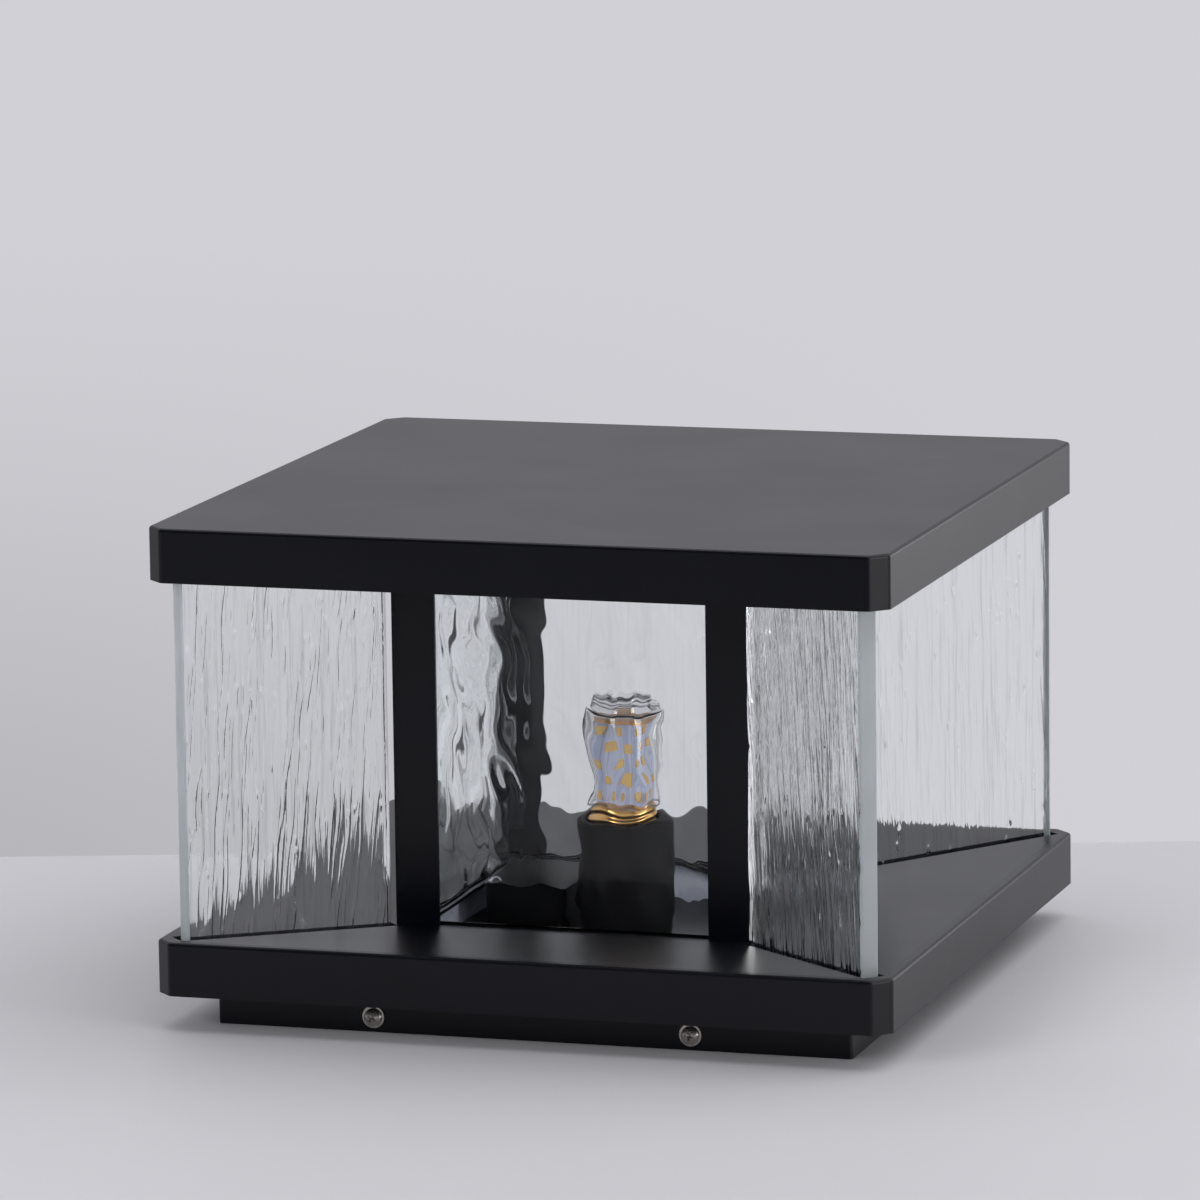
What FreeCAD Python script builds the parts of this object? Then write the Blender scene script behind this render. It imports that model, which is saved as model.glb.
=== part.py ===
import FreeCAD
import Part

import math
import os
import re

import Sketcher

# Gate-post light: a square lantern of rain glass between a sheet-metal base tray and lid
#
# Frame: millimetres, +Z up, the front is -Y. The origin is the middle of the face it stands on.

os.makedirs("parts", exist_ok=True)
doc = FreeCAD.newDocument("gate_post_light")

# Driving sizes: name, value, what it is

SIZES = [
    ("plan_width", 300, "side of the square lid and of the square base tray"),
    ("corner_cut", 7, "flat across each upright corner of the lid and the tray, along one side"),
    ("corner_round", 3, "radius where that flat meets the sides"),
    ("edge_round", 1.4, "outer bend radius round the top of the lid and the tray"),
    ("sheet", 1.5, "thickness of the folded steel sheet"),
    ("sheet_gap", 0.3, "gap between a loose plate and the rim that it lies in"),
    ("overrun", 5, "how far a cut runs past the face that it starts from"),
    ("skirt_clearance", 2.9, "gap between the skirt and the heads of the outer shoe screws"),
    ("skirt_height", 14.5, "height of the skirt"),
    ("skirt_flange", 14, "width of the flange turned in at the top of the skirt"),
    ("skirt_round", 1.5, "bend radius of the skirt's upright edges"),
    ("bracket_gap", 0.5, "gap between the skirt and the bracket inside it"),
    ("bracket_sheet", 2, "thickness of the post bracket"),
    ("bracket_height", 11, "height of the bracket's two upturned flanges"),
    ("bracket_window", 120, "side of the square wiring window in the bracket"),
    ("anchor_spacing", 180, "distance between the holes for the post's anchor bolts"),
    ("anchor_hole", 9, "diameter of those holes"),
    ("side_screw_spacing", 130, "distance between the two screws on one side of the skirt"),
    ("side_screw_level", 6.2, "height of those screws above the post"),
    ("side_screw_thread", 4, "thread diameter of the side screws"),
    ("side_screw_length", 10, "length of a side screw under its head"),
    ("side_screw_head", 7, "head diameter of the side screws"),
    ("side_screw_dome", 2.2, "head height of the side screws"),
    ("side_hole_gap", 0.3, "gap round a side screw in the skirt"),
    ("washer_width", 9, "outer diameter of the washer under a side screw"),
    ("washer_thick", 0.8, "thickness of that washer"),
    ("nut_body", 6, "outer diameter of the rivet nut in the bracket"),
    ("nut_flange", 8.4, "diameter of the rivet nut's flange"),
    ("nut_flange_thick", 0.4, "thickness of the rivet nut's flange"),
    ("nut_length", 9, "length of the rivet nut behind its flange"),
    ("rim_height", 21.5, "height of the base tray's rim"),
    ("dish_drop", 4.5, "how far the tray's top falls from its rim to the glass box"),
    ("dish_land", 4.5, "flat margin between the tray's edge and that fall"),
    ("dish_margin", 3, "flat floor left round the glass box"),
    ("floor_land", 10, "tray floor under the glass box, from its outer face to the opening"),
    ("light_height", 143.5, "height of the clear band between the tray's rim and the lid's rim"),
    ("lid_height", 21.5, "height of the lid's rim"),
    ("ceiling_recess", 1.5, "how far the ceiling plate lies above the lid's lower edge"),
    ("box_width", 148, "side of the glass box over its corner posts"),
    ("post_leg", 18, "width of each leg of a corner post"),
    ("post_wall", 1.5, "thickness of a corner post"),
    ("tongue_width", 10, "width of the tongue at each end of a post's leg"),
    ("tongue_length", 12, "how far a tongue reaches beyond the post's shoulder"),
    ("tongue_gap", 0.3, "gap round a tongue in its slot"),
    ("ring_wall", 2, "thickness of the base ring and the top ring"),
    ("ring_screw_inset", 6, "distance of a ring screw from the shoulder's sheet"),
    ("ring_screw_thread", 3.5, "thread diameter of a ring screw"),
    ("ring_hole_gap", 0.2, "gap round a ring screw in a tongue"),
    ("ring_screw_head", 6.6, "head diameter of a ring screw"),
    ("ring_screw_dome", 2, "head height of a ring screw"),
    ("ring_screw_tip", 3, "how far a ring screw reaches through the ring"),
    ("pane_thick", 6, "thickness of the four panes"),
    ("pane_tape", 0.3, "mounting tape between a pane and a post"),
    ("pane_joint", 0.3, "gap where a side pane meets the front or the back pane"),
    ("pane_seal", 0.6, "thickness of the seals under and over the panes"),
    ("fin_thick", 8, "thickness of the four corner fins"),
    ("fin_gap", 4, "gap between a corner post and its fin"),
    ("fin_inset", 14.1, "distance of a fin's outer edge from where the sides of the lid would meet"),
    ("fin_bevel", 0.7, "ground bevel along the upright edges of the glass"),
    ("fin_stub", 6, "how far a fin reaches above the ceiling plate"),
    ("slot_side_gap", 0.8, "gap between a fin and the side of its slot"),
    ("slot_end_gap", 3, "gap between a fin and the end of its slot"),
    ("shoe_wall", 1.5, "thickness of the channel that a fin stands in"),
    ("shoe_height", 9, "height of that channel"),
    ("shoe_seal", 1.5, "thickness of the rubber between the fin and its channel"),
    ("shoe_end", 1, "how far the channel reaches past each end of the fin"),
    ("shoe_screw_thread", 4, "thread diameter of a shoe screw"),
    ("shoe_screw_head", 10, "head diameter of a shoe screw"),
    ("shoe_screw_dome", 2.2, "head height of a shoe screw"),
    ("shoe_screw_inset", 3, "distance of a shoe screw from the end of the fin"),
    ("stud_spacing", 80, "distance between the lid's studs"),
    ("stud_thread", 5, "diameter of a lid stud"),
    ("stud_tail", 6, "how far a stud reaches below the ceiling plate"),
    ("stud_hole_gap", 0.3, "gap round a stud in the ceiling plate"),
    ("stud_nut_width", 8, "width across the flats of a stud's nut"),
    ("stud_nut_height", 4, "height of a stud's nut"),
    ("holder_wall", 4.95, "wall thickness of the lamp holder"),
    ("holder_step", 1, "how far the lamp holder's foot steps in"),
    ("holder_foot", 12, "height of that foot"),
    ("holder_height", 48, "height of the lamp holder"),
    ("shell_gap", 0.55, "gap between the screw shell and the wall of the lamp holder's mouth"),
    ("holder_floor", 24, "height of the floor of the mouth above the holder's foot"),
    ("holder_rim", 1.2, "rounding of the holder's rim"),
    ("holder_screw_spacing", 25, "distance between the two screws under the lamp holder"),
    ("holder_screw_thread", 4, "thread diameter of those screws"),
    ("holder_screw_head", 7.5, "head diameter of those screws"),
    ("holder_screw_dome", 2, "head height of those screws"),
    ("holder_screw_length", 10, "length of those screws"),
    ("thread_gap", 0.45, "gap between the bulb's cap and the holder's screw shell"),
    ("thread_shell_wall", 0.6, "thickness of the holder's screw shell"),
    ("thread_shell_height", 18, "height of the holder's screw shell"),
    ("thread_shell_lift", 3, "height of the shell's lower edge above the floor of the mouth"),
    ("contact_width", 6, "width of the centre contact's blade"),
    ("contact_length", 16, "length of the centre contact's blade"),
    ("contact_thick", 0.6, "thickness of the centre contact's blade"),
    ("contact_rise", 2.1, "height of the rivet that lifts the blade off the floor of the mouth"),
    ("contact_rivet", 5, "diameter of that rivet"),
    ("contact_gap", 0.3, "gap between the blade and the bulb's tip at rest"),
    ("cap_width", 26.4, "diameter of the bulb's screw cap"),
    ("cap_wall", 0.5, "thickness of the screw cap"),
    ("cap_height", 21, "height of the screw cap"),
    ("tip_width", 10, "diameter of the bulb's tip contact"),
    ("tip_height", 1.5, "height of the tip contact"),
    ("insulator_height", 4.5, "height of the insulator between the cap and the tip"),
    ("cover_width", 30, "outer diameter of the bulb's clear cover"),
    ("cover_wall", 1, "thickness of the clear cover"),
    ("cover_height", 45.4, "height of the clear cover"),
    ("cover_step", 7, "height of the narrow neck at the cover's top"),
    ("cover_neck", 24, "diameter of that neck"),
    ("core_width", 18.4, "side of the square column of LED boards"),
    ("core_gap", 2, "gap between the upper plate over the column and the cover's shoulder"),
    ("core_angle", 80, "turn of that column about the bulb's axis, in degrees"),
    ("core_plate", 1.2, "thickness of the plates over and under the column"),
    ("core_plate_width", 24, "diameter of those plates"),
    ("chip_width", 2.8, "width of one LED"),
    ("chip_height", 3.5, "height of one LED"),
    ("chip_thick", 0.7, "thickness of one LED"),
    ("chip_rows", 5, "number of LED rows on a board"),
    ("chip_spread", 8.6, "distance between the two LEDs of a row"),
    ("terminal_edge", 5.25, "gap between the terminal box and the edge of the tray's floor"),
    ("terminal_height", 17, "height of the terminal box without its cover"),
    ("terminal_wall", 2, "wall thickness of the terminal box"),
    ("terminal_round", 2, "rounding of the terminal box's corners"),
    ("terminal_gap", 3, "gap between the terminal box and the lamp holder"),
    ("terminal_shift", 20, "how far the terminal box's middle lies behind the lantern's middle"),
    ("terminal_screw_inset", 3.5, "distance of a cover screw from the box's corner, each way"),
    ("terminal_post", 7, "diameter of the posts that take the cover screws"),
    ("terminal_screw_thread", 2.9, "thread diameter of a cover screw"),
    ("terminal_screw_head", 5.5, "head diameter of a cover screw"),
    ("terminal_screw_dome", 1.6, "head height of a cover screw"),
    ("terminal_screw_length", 9, "length of a cover screw"),
    ("terminal_hole_gap", 0.2, "gap round a cover screw"),
    ("block_side", 3, "gap between the terminal block and the side of its box"),
    ("block_depth", 14, "depth of the terminal block"),
    ("block_height", 10, "height of the terminal block"),
    ("block_gap", 1.5, "gap between the terminal block and the post behind it"),
    ("block_room", 3.5, "gap between the terminal block and the gland's room"),
    ("block_bore", 3.2, "diameter of a terminal's wire hole"),
    ("gland_thread", 16, "thread diameter of the cable gland"),
    ("gland_bore", 8.5, "bore of the cable gland"),
    ("gland_hex", 19, "width across the flats of the gland's body"),
    ("gland_flange", 4, "height of that hexagon"),
    ("gland_dome", 8, "height of the gland's dome nut"),
    ("gland_dome_width", 17, "diameter of the gland's dome nut"),
    ("gland_nut", 3.5, "height of the gland's lock nut"),
    ("gland_room", 12, "distance of the gland's middle from the terminal box's front wall"),
    ("gland_hole_gap", 0.3, "gap round the gland in the bottom plate"),
    ("earth_inset", 18, "distance of the earth stud from the edges of the tray's floor"),
    ("earth_thread", 4, "diameter of the earth stud"),
    ("earth_height", 9, "height of the earth stud"),
    ("earth_nut_width", 7, "width across the flats of the earth stud's nut"),
    ("earth_nut_height", 3.2, "height of that nut"),
]

# Levels and widths that follow from the driving sizes

DERIVED = [
    ("plate_level", "skirt_height + sheet", "top of the bottom plate"),
    ("rim_level", "skirt_height + rim_height", "top of the tray's rim"),
    ("floor_level", "rim_level - dish_drop", "tray floor that the glass box stands on"),
    ("lid_level", "rim_level + light_height", "lower edge of the lid"),
    ("top_level", "lid_level + lid_height", "top of the lid"),
    ("ceiling_level", "lid_level + ceiling_recess", "underside of the ceiling plate"),
    ("loft_level", "ceiling_level + sheet", "top of the ceiling plate"),
    ("half_plan", "plan_width / 2", "half the side of lid and tray"),
    ("half_box", "box_width / 2", "half the side of the glass box"),
    ("half_ring", "half_box - post_wall", "outer face of both rings"),
    ("pane_face", "half_box - post_wall - pane_tape", "outer face of the panes"),
    ("pane_back", "pane_face - pane_thick", "inner face of the panes"),
    ("inner_plan", "half_plan - sheet", "inner face of the rims"),
    ("floor_opening", "box_width - 2 * floor_land", "side of the square opening in the tray's floor"),
    ("fin_start", "half_box * sqrt(2) + fin_gap", "distance of a fin's inner edge from the middle"),
    ("fin_reach", "half_plan * sqrt(2) - fin_inset", "distance of a fin's outer edge from the middle"),
    ("fin_length", "fin_reach - fin_start", "length of a fin along the diagonal"),
    ("fin_level", "plate_level + shoe_wall + shoe_seal", "lower edge of a fin"),
    ("shoe_spot", "(fin_reach - shoe_screw_inset) / sqrt(2)", "place of the outer shoe screws, each way"),
    ("skirt_width", "2 * shoe_spot - shoe_screw_head - 2 * skirt_clearance", "side of the square skirt"),
    ("side_hole", "side_screw_thread + 2 * side_hole_gap", "the skirt's hole for a side screw"),
    ("ring_screw_hole", "ring_screw_thread + 2 * ring_hole_gap", "a tongue's hole for a ring screw"),
    ("stud_hole", "stud_thread + 2 * stud_hole_gap", "the ceiling plate's hole for a stud"),
    ("thread_bore", "cap_width + 2 * thread_gap", "inner diameter of the holder's screw shell"),
    ("holder_mouth", "thread_bore + 2 * thread_shell_wall + 2 * shell_gap", "the holder's mouth"),
    ("holder_width", "holder_mouth + 2 * holder_wall", "outer diameter of the lamp holder"),
    ("holder_waist", "holder_width - 2 * holder_step", "diameter of the lamp holder's foot"),
    ("holder_level", "plate_level + holder_height", "rim of the lamp holder"),
    ("mouth_level", "plate_level + holder_floor", "floor of the lamp holder's mouth"),
    ("tip_level", "mouth_level + contact_rise + contact_thick + contact_gap", "lowest point of the bulb"),
    ("cap_level", "tip_level + tip_height + insulator_height", "lower edge of the screw cap"),
    ("bulb_level", "cap_level + cap_height", "lower edge of the clear cover"),
    ("core_height", "cover_height - cover_step - cover_wall - 2 * core_plate - core_gap", "LED column"),
    ("terminal_room", "floor_opening / 2 - holder_width / 2", "from the lamp holder to the opening's edge"),
    ("terminal_width", "terminal_room - terminal_edge - terminal_gap", "width of the terminal box"),
    ("block_width", "terminal_width - 2 * terminal_wall - 2 * block_side", "the terminal block's width"),
    ("block_pitch", "block_width / (3 + 1 / 4)", "distance between its three terminals"),
    ("post_place", "terminal_screw_inset + terminal_post / 2", "how far a screw post reaches into the box"),
    ("block_place", "post_place + block_gap + block_depth / 2", "the block's middle from the box's back"),
    ("block_front", "block_place + block_depth / 2 + block_room", "the block's room from the box's back"),
    ("terminal_depth", "terminal_wall + 2 * gland_room + block_front", "depth of the terminal box"),
    ("block_shift", "terminal_depth / 2 - block_place", "how far the block lies behind the box's middle"),
    ("gland_shift", "terminal_depth / 2 - terminal_wall - gland_room", "gland's middle from the box's"),
    ("gland_hole", "gland_thread + 2 * gland_hole_gap", "diameter of the hole for the gland"),
    ("earth_place", "floor_opening / 2 - earth_inset", "place of the earth stud, each way"),
    ("terminal_place", "holder_width / 2 + terminal_gap + terminal_width / 2", "terminal box's middle"),
    ("gland_place", "terminal_shift - gland_shift", "how far the gland lies behind the lantern's middle"),
]

sheet = doc.addObject("Spreadsheet::Sheet", "sizes")
for row, (alias, number, meaning) in enumerate(SIZES + DERIVED, start=1):
    sheet.set("A%d" % row, alias)
    sheet.set("B%d" % row, str(number) if isinstance(number, (int, float)) else "=" + number)
    sheet.set("C%d" % row, meaning)
    sheet.setAlias("B%d" % row, alias)
doc.recompute()

ALIASES = {alias for alias, number, meaning in SIZES + DERIVED}
WORD = re.compile(r"[a-z][a-z_0-9]*")
QUARTERS = ((1, 1), (-1, 1), (-1, -1), (1, -1))
FULL_TURN = 360
QUARTER_TURN = FULL_TURN / len(QUARTERS)
HALF_QUARTER = QUARTER_TURN / 2
UP = FreeCAD.Vector(0, 0, 1)
TINY = 1e-3


def full(expression):
    """The expression with every size name pointed at the sheet."""
    return WORD.sub(lambda word: "sizes." * (word.group() in ALIASES) + word.group(), expression)


def bind(target, prop, expression):
    """Tie a property to an expression in the sheet's sizes."""
    target.setExpression(prop, full(expression))


def value(expression):
    """The number that an expression in the sheet's sizes gives now."""
    return float(sheet.evalExpression(full(expression)))


# Sketches, pads, cuts and turned pieces

def new_body(label):
    """An empty body whose label becomes the node's name."""
    made = doc.addObject("PartDesign::Body", label)
    made.Label = label
    return made


def new_sketch(owner, plane, lift="0"):
    """A sketch on one of the body's own origin planes, lifted along the plane's normal."""
    base = [item for item in owner.Origin.OriginFeatures if item.Role == plane][0]
    drawn = owner.newObject("Sketcher::SketchObject", owner.Name + "_sketch")
    drawn.AttachmentSupport = [(base, "")]
    drawn.MapMode = "FlatFace"
    bind(drawn, "AttachmentOffset.Base.z", lift)
    return drawn


def pin_point(drawn, index, position, x, y):
    """Hold one point of a sketch at an expression along each axis, or on the axis itself for zero."""
    for kind, expression, axis in (("DistanceX", x, -2), ("DistanceY", y, -1)):
        if expression == "0":
            drawn.addConstraint(Sketcher.Constraint("PointOnObject", index, position, axis))
        else:
            rule = Sketcher.Constraint(kind, -1, 1, index, position, value(expression))
            number = drawn.addConstraint(rule)
            bind(drawn, "Constraints[%d]" % number, expression)


def draw_polygon(drawn, corners):
    """A closed outline through corners that are written as pairs of size expressions."""
    points = [FreeCAD.Vector(value(x), value(y), 0) for x, y in corners]
    first = drawn.GeometryCount
    for start, end in zip(points, points[1:] + points[:1]):
        drawn.addGeometry(Part.LineSegment(start, end), False)
    for k, (x, y) in enumerate(corners):
        after = first + (k + 1) % len(corners)
        drawn.addConstraint(Sketcher.Constraint("Coincident", first + k, 2, after, 1))
        pin_point(drawn, first + k, 1, x, y)
    return drawn


def draw_rectangle(drawn, left, right, low, high):
    """A rectangle between four size expressions."""
    return draw_polygon(drawn, [(left, low), (right, low), (right, high), (left, high)])


def draw_square(drawn, half):
    """A square about the origin, from half its side."""
    return draw_rectangle(drawn, "-(%s)" % half, half, "-(%s)" % half, half)


def draw_cut_square(drawn, half, cut):
    """A square about the origin whose four corners are cut across, from half its side and the cut."""
    inner = "(%s) - (%s)" % (half, cut)
    outline = []
    for sx, sy in QUARTERS:
        pair = [("%d * (%s)" % (sx, half), "%d * (%s)" % (sy, inner)),
                ("%d * (%s)" % (sx, inner), "%d * (%s)" % (sy, half))]
        outline += pair if sx == sy else pair[::-1]
    return draw_polygon(drawn, outline)


def draw_circle(drawn, x, y, diameter):
    """A circle with its centre and its diameter written in sizes."""
    centre = FreeCAD.Vector(value(x), value(y), 0)
    index = drawn.addGeometry(Part.Circle(centre, UP, value(diameter) / 2), False)
    pin_point(drawn, index, 3, x, y)
    number = drawn.addConstraint(Sketcher.Constraint("Diameter", index, value(diameter)))
    bind(drawn, "Constraints[%d]" % number, diameter)
    return drawn


def pad(owner, drawn, length, reverse=False):
    """Raise a sketch along its normal."""
    raised = owner.newObject("PartDesign::Pad", owner.Name + "_pad")
    raised.Profile = drawn
    raised.Reversed = reverse
    bind(raised, "Length", length)
    drawn.Visibility = False
    return raised


def cut(owner, drawn, length, upward=False, both=False):
    """Sink a sketch against its normal, along it when upward, or both ways."""
    before = owner.Tip
    sunk = owner.newObject("PartDesign::Pocket", owner.Name + "_pocket")
    sunk.Profile = drawn
    sunk.Reversed = upward
    sunk.Midplane = both
    bind(sunk, "Length", length)
    doc.recompute()
    if sunk.Shape.Volume >= before.Shape.Volume - TINY:
        raise ValueError("%s: a cut removes nothing" % owner.Label)
    return sunk


def turn(owner, drawn):
    """Turn a sketch of the XZ plane round the Z axis."""
    turned = owner.newObject("PartDesign::Revolution", owner.Name + "_revolution")
    turned.Profile = drawn
    turned.ReferenceAxis = (drawn, ["V_Axis"])
    turned.Angle = FULL_TURN
    return turned


def quarter_pattern(owner, drawn, features):
    """Repeat features four times round the Z axis."""
    pattern = owner.newObject("PartDesign::PolarPattern", owner.Name + "_pattern")
    pattern.Originals = features
    pattern.Axis = (drawn, ["N_Axis"])
    pattern.Angle = FULL_TURN
    pattern.Occurrences = len(QUARTERS)
    owner.Tip = pattern
    doc.recompute()
    return pattern


def dress(owner, kind, size_property, expression, test):
    """Fillet or chamfer the edges of the newest feature that pass a test."""
    doc.recompute()
    base = owner.Tip
    chosen = ["Edge%d" % number for number, edge in enumerate(base.Shape.Edges, start=1) if test(edge)]
    made = owner.newObject("PartDesign::" + kind, owner.Name + "_" + kind.lower())
    made.Base = (base, chosen)
    bind(made, size_property, expression)
    doc.recompute()
    return made


def is_upright(edge):
    """True for a straight edge along Z."""
    low, high = edge.Vertexes[0].Point, edge.Vertexes[-1].Point
    return abs(low.x - high.x) < TINY and abs(low.y - high.y) < TINY and abs(low.z - high.z) > TINY


def lies_at(level):
    """A test for edges that lie flat at a level."""
    return lambda edge: abs(edge.BoundBox.ZMin - level) < TINY and abs(edge.BoundBox.ZMax - level) < TINY


def solid_of_turn(profile):
    """A solid turned round Z from (radius, level) pairs."""
    points = [FreeCAD.Vector(radius, 0, level) for radius, level in profile]
    wire = Part.makePolygon(points + points[:1])
    return Part.Face(wire).revolve(FreeCAD.Vector(), UP, FULL_TURN)


def hexagon(width, height, level):
    """A hexagonal prism from its width across flats, standing at a level."""
    sides = 6
    radius = width / 2 / math.cos(math.pi / sides)
    points = [FreeCAD.Vector(radius * math.cos(2 * math.pi * k / sides),
                             radius * math.sin(2 * math.pi * k / sides), level) for k in range(sides)]
    return Part.Face(Part.makePolygon(points + points[:1])).extrude(UP * height)


def group(label, shape, placements):
    """One node of identical solids: a shape repeated at placements."""
    node = doc.addObject("Part::Feature", label)
    node.Label = label
    copies = []
    for place in placements:
        copy = shape.copy()
        copy.Placement = place
        copies.append(copy)
    node.Shape = Part.makeCompound(copies)
    node.Placement = FreeCAD.Placement()
    return node


def at(x, y, z, turned=0, axis=UP):
    """A placement at a point, turned about an axis by degrees."""
    return FreeCAD.Placement(FreeCAD.Vector(x, y, z), FreeCAD.Rotation(axis, turned))


def screw_solid(thread, length, head, dome):
    """A round-headed screw: the thread hangs down from Z = 0 and the head stands above it."""
    crown_share = 0.55
    solid = solid_of_turn([(0, -length), (thread / 2, -length), (thread / 2, 0), (head / 2, 0),
                           (head / 2, dome / 3), (head / 2 * crown_share, dome), (0, dome)])
    return solid


# The folded rims of the base tray and the lid

def folded_rim(label, level, height, top):
    """A square tray upside down: cut and rounded corners, a bent top edge, open underneath."""
    made = new_body(label)
    pad(made, draw_square(new_sketch(made, "XY_Plane", level), "half_plan"), height)
    dress(made, "Chamfer", "Size", "corner_cut", is_upright)
    dress(made, "Fillet", "Radius", "corner_round", is_upright)
    dress(made, "Fillet", "Radius", "edge_round", lies_at(value(top)))
    hollow = draw_cut_square(new_sketch(made, "XY_Plane", level), "inner_plan", "corner_cut")
    cut(made, hollow, height + " - sheet", upward=True)
    return made


def fin_slot(drawn):
    """The outline of one fin's slot, drawn along the diagonal of the first quarter."""
    along = ("(fin_start - fin_gap + sheet)", "(fin_reach + slot_end_gap)")
    across = "(fin_thick / 2 + slot_side_gap)"
    corners = [(along[0], "-"), (along[1], "-"), (along[1], "+"), (along[0], "+")]
    outline = []
    for reach, side in corners:
        other = "-" if side == "+" else "+"
        outline.append(("(%s %s %s) / sqrt(2)" % (reach, other, across),
                        "(%s %s %s) / sqrt(2)" % (reach, side, across)))
    return draw_polygon(drawn, outline)


def tongue_slots(drawn):
    """The two slots for the tongues of the post in the first quarter."""
    near = "half_box - post_wall - tongue_gap"
    far = "half_box + tongue_gap"
    start = "half_box - post_leg / 2 - tongue_width / 2 - tongue_gap"
    end = "half_box - post_leg / 2 + tongue_width / 2 + tongue_gap"
    draw_rectangle(drawn, near, far, start, end)
    return draw_rectangle(drawn, start, end, near, far)


def cut_glass_slots(owner, level, depth):
    """Cut the slots for four fins and eight tongues down through a plate from a level."""
    fins = fin_slot(new_sketch(owner, "XY_Plane", level))
    fin_cut = cut(owner, fins, depth)
    tongues = tongue_slots(new_sketch(owner, "XY_Plane", level))
    tongue_cut = cut(owner, tongues, depth)
    quarter_pattern(owner, fins, [fin_cut, tongue_cut])


def make_base_tray():
    """The base: a folded tray whose top falls on four sides to the floor of the glass box."""
    tray = folded_rim("base_tray", "skirt_height", "rim_height", "rim_level")
    for kind, wide, top, low in (
            ("AdditiveLoft", "inner_plan - corner_cut / 2 - sheet",
             "rim_level - sheet", "floor_level - sheet"),
            ("SubtractiveLoft", "half_plan - dish_land", "rim_level", "floor_level")):
        upper = draw_square(new_sketch(tray, "XY_Plane", top), wide)
        lower = draw_square(new_sketch(tray, "XY_Plane", low), "half_box + dish_margin")
        slope = tray.newObject("PartDesign::" + kind, "tray_" + kind.lower())
        slope.Profile = upper
        slope.Sections = [lower]
        slope.Ruled = True
        doc.recompute()
    opening = draw_square(new_sketch(tray, "XY_Plane", "rim_level"), "floor_opening / 2")
    cut(tray, opening, "dish_drop + sheet + overrun")
    cut_glass_slots(tray, "rim_level", "dish_drop + sheet + overrun")


def make_lid():
    """The lid: the same folded tray with a plain top."""
    folded_rim("lid", "lid_level", "lid_height", "top_level")


def make_plates():
    """The bottom plate in the tray and the ceiling plate in the lid."""
    bottom = new_body("bottom_plate")
    outline = new_sketch(bottom, "XY_Plane", "skirt_height")
    draw_cut_square(outline, "inner_plan - sheet_gap", "corner_cut")
    for place in (("holder_screw_spacing / 2", "0"), ("-holder_screw_spacing / 2", "0")):
        draw_circle(outline, place[0], place[1], "holder_screw_thread")
    draw_circle(outline, "-terminal_place", "gland_place", "gland_hole")
    draw_circle(outline, "earth_place", "earth_place", "earth_thread")
    pad(bottom, outline, "sheet")
    holes = new_sketch(bottom, "XY_Plane", "plate_level")
    for spot in ("shoe_spot", "(fin_start + shoe_screw_inset) / sqrt(2)"):
        draw_circle(holes, spot, spot, "shoe_screw_thread")
    quarter_pattern(bottom, holes, [cut(bottom, holes, "sheet + overrun")])

    ceiling = new_body("ceiling_plate")
    outline = new_sketch(ceiling, "XY_Plane", "ceiling_level")
    draw_cut_square(outline, "inner_plan - sheet_gap", "corner_cut")
    for sx, sy in QUARTERS:
        draw_circle(outline, "%d * stud_spacing / 2" % sx, "%d * stud_spacing / 2" % sy, "stud_hole")
    pad(ceiling, outline, "sheet")
    cut_glass_slots(ceiling, "loft_level", "sheet + overrun")


# The mounting skirt, the bracket on the post, and their screws

def make_skirt():
    """The skirt: a square collar with a flange turned in at its top and holes for the side screws."""
    skirt = new_body("mounting_skirt")
    pad(skirt, draw_square(new_sketch(skirt, "XY_Plane"), "skirt_width / 2"), "skirt_height")
    dress(skirt, "Fillet", "Radius", "skirt_round", is_upright)
    hollow = draw_square(new_sketch(skirt, "XY_Plane"), "skirt_width / 2 - sheet")
    cut(skirt, hollow, "skirt_height - sheet", upward=True)
    window = draw_square(new_sketch(skirt, "XY_Plane", "skirt_height"),
                         "skirt_width / 2 - sheet - skirt_flange")
    cut(skirt, window, "sheet + overrun")
    holes = new_sketch(skirt, "XZ_Plane")
    for side in (1, -1):
        draw_circle(holes, "%d * side_screw_spacing / 2" % side, "side_screw_level", "side_hole")
    cut(skirt, holes, "skirt_width + overrun", both=True)


def make_post_bracket():
    """The bracket that stays on the gate post: a plate with a wiring window and two upturned flanges."""
    bracket = new_body("post_bracket")
    half = "(skirt_width / 2 - sheet - bracket_gap)"
    inner = half + " - bracket_sheet"
    section = new_sketch(bracket, "YZ_Plane", "-" + half)
    draw_polygon(section, [("-" + half, "0"), (half, "0"),
                           (half, "bracket_height"), (inner, "bracket_height"),
                           (inner, "bracket_sheet"), ("-(%s)" % inner, "bracket_sheet"),
                           ("-(%s)" % inner, "bracket_height"), ("-" + half, "bracket_height")])
    pad(bracket, section, "2 * " + half)
    floor = draw_square(new_sketch(bracket, "XY_Plane", "bracket_sheet"), "bracket_window / 2")
    for sx, sy in QUARTERS:
        draw_circle(floor, "%d * anchor_spacing / 2" % sx, "%d * anchor_spacing / 2" % sy, "anchor_hole")
    cut(bracket, floor, "bracket_sheet + overrun")
    holes = new_sketch(bracket, "XZ_Plane")
    for side in (1, -1):
        draw_circle(holes, "%d * side_screw_spacing / 2" % side, "side_screw_level", "nut_body")
    cut(bracket, holes, "skirt_width + overrun", both=True)


def side_places(depth):
    """Placements on the skirt's front and back at a distance from the middle, with Z turned outward."""
    reach = value("side_screw_spacing / 2")
    level = value("side_screw_level")
    return [at(side * reach, face * depth, level, -face * QUARTER_TURN, FreeCAD.Vector(1, 0, 0))
            for face in (1, -1) for side in (1, -1)]


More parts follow.
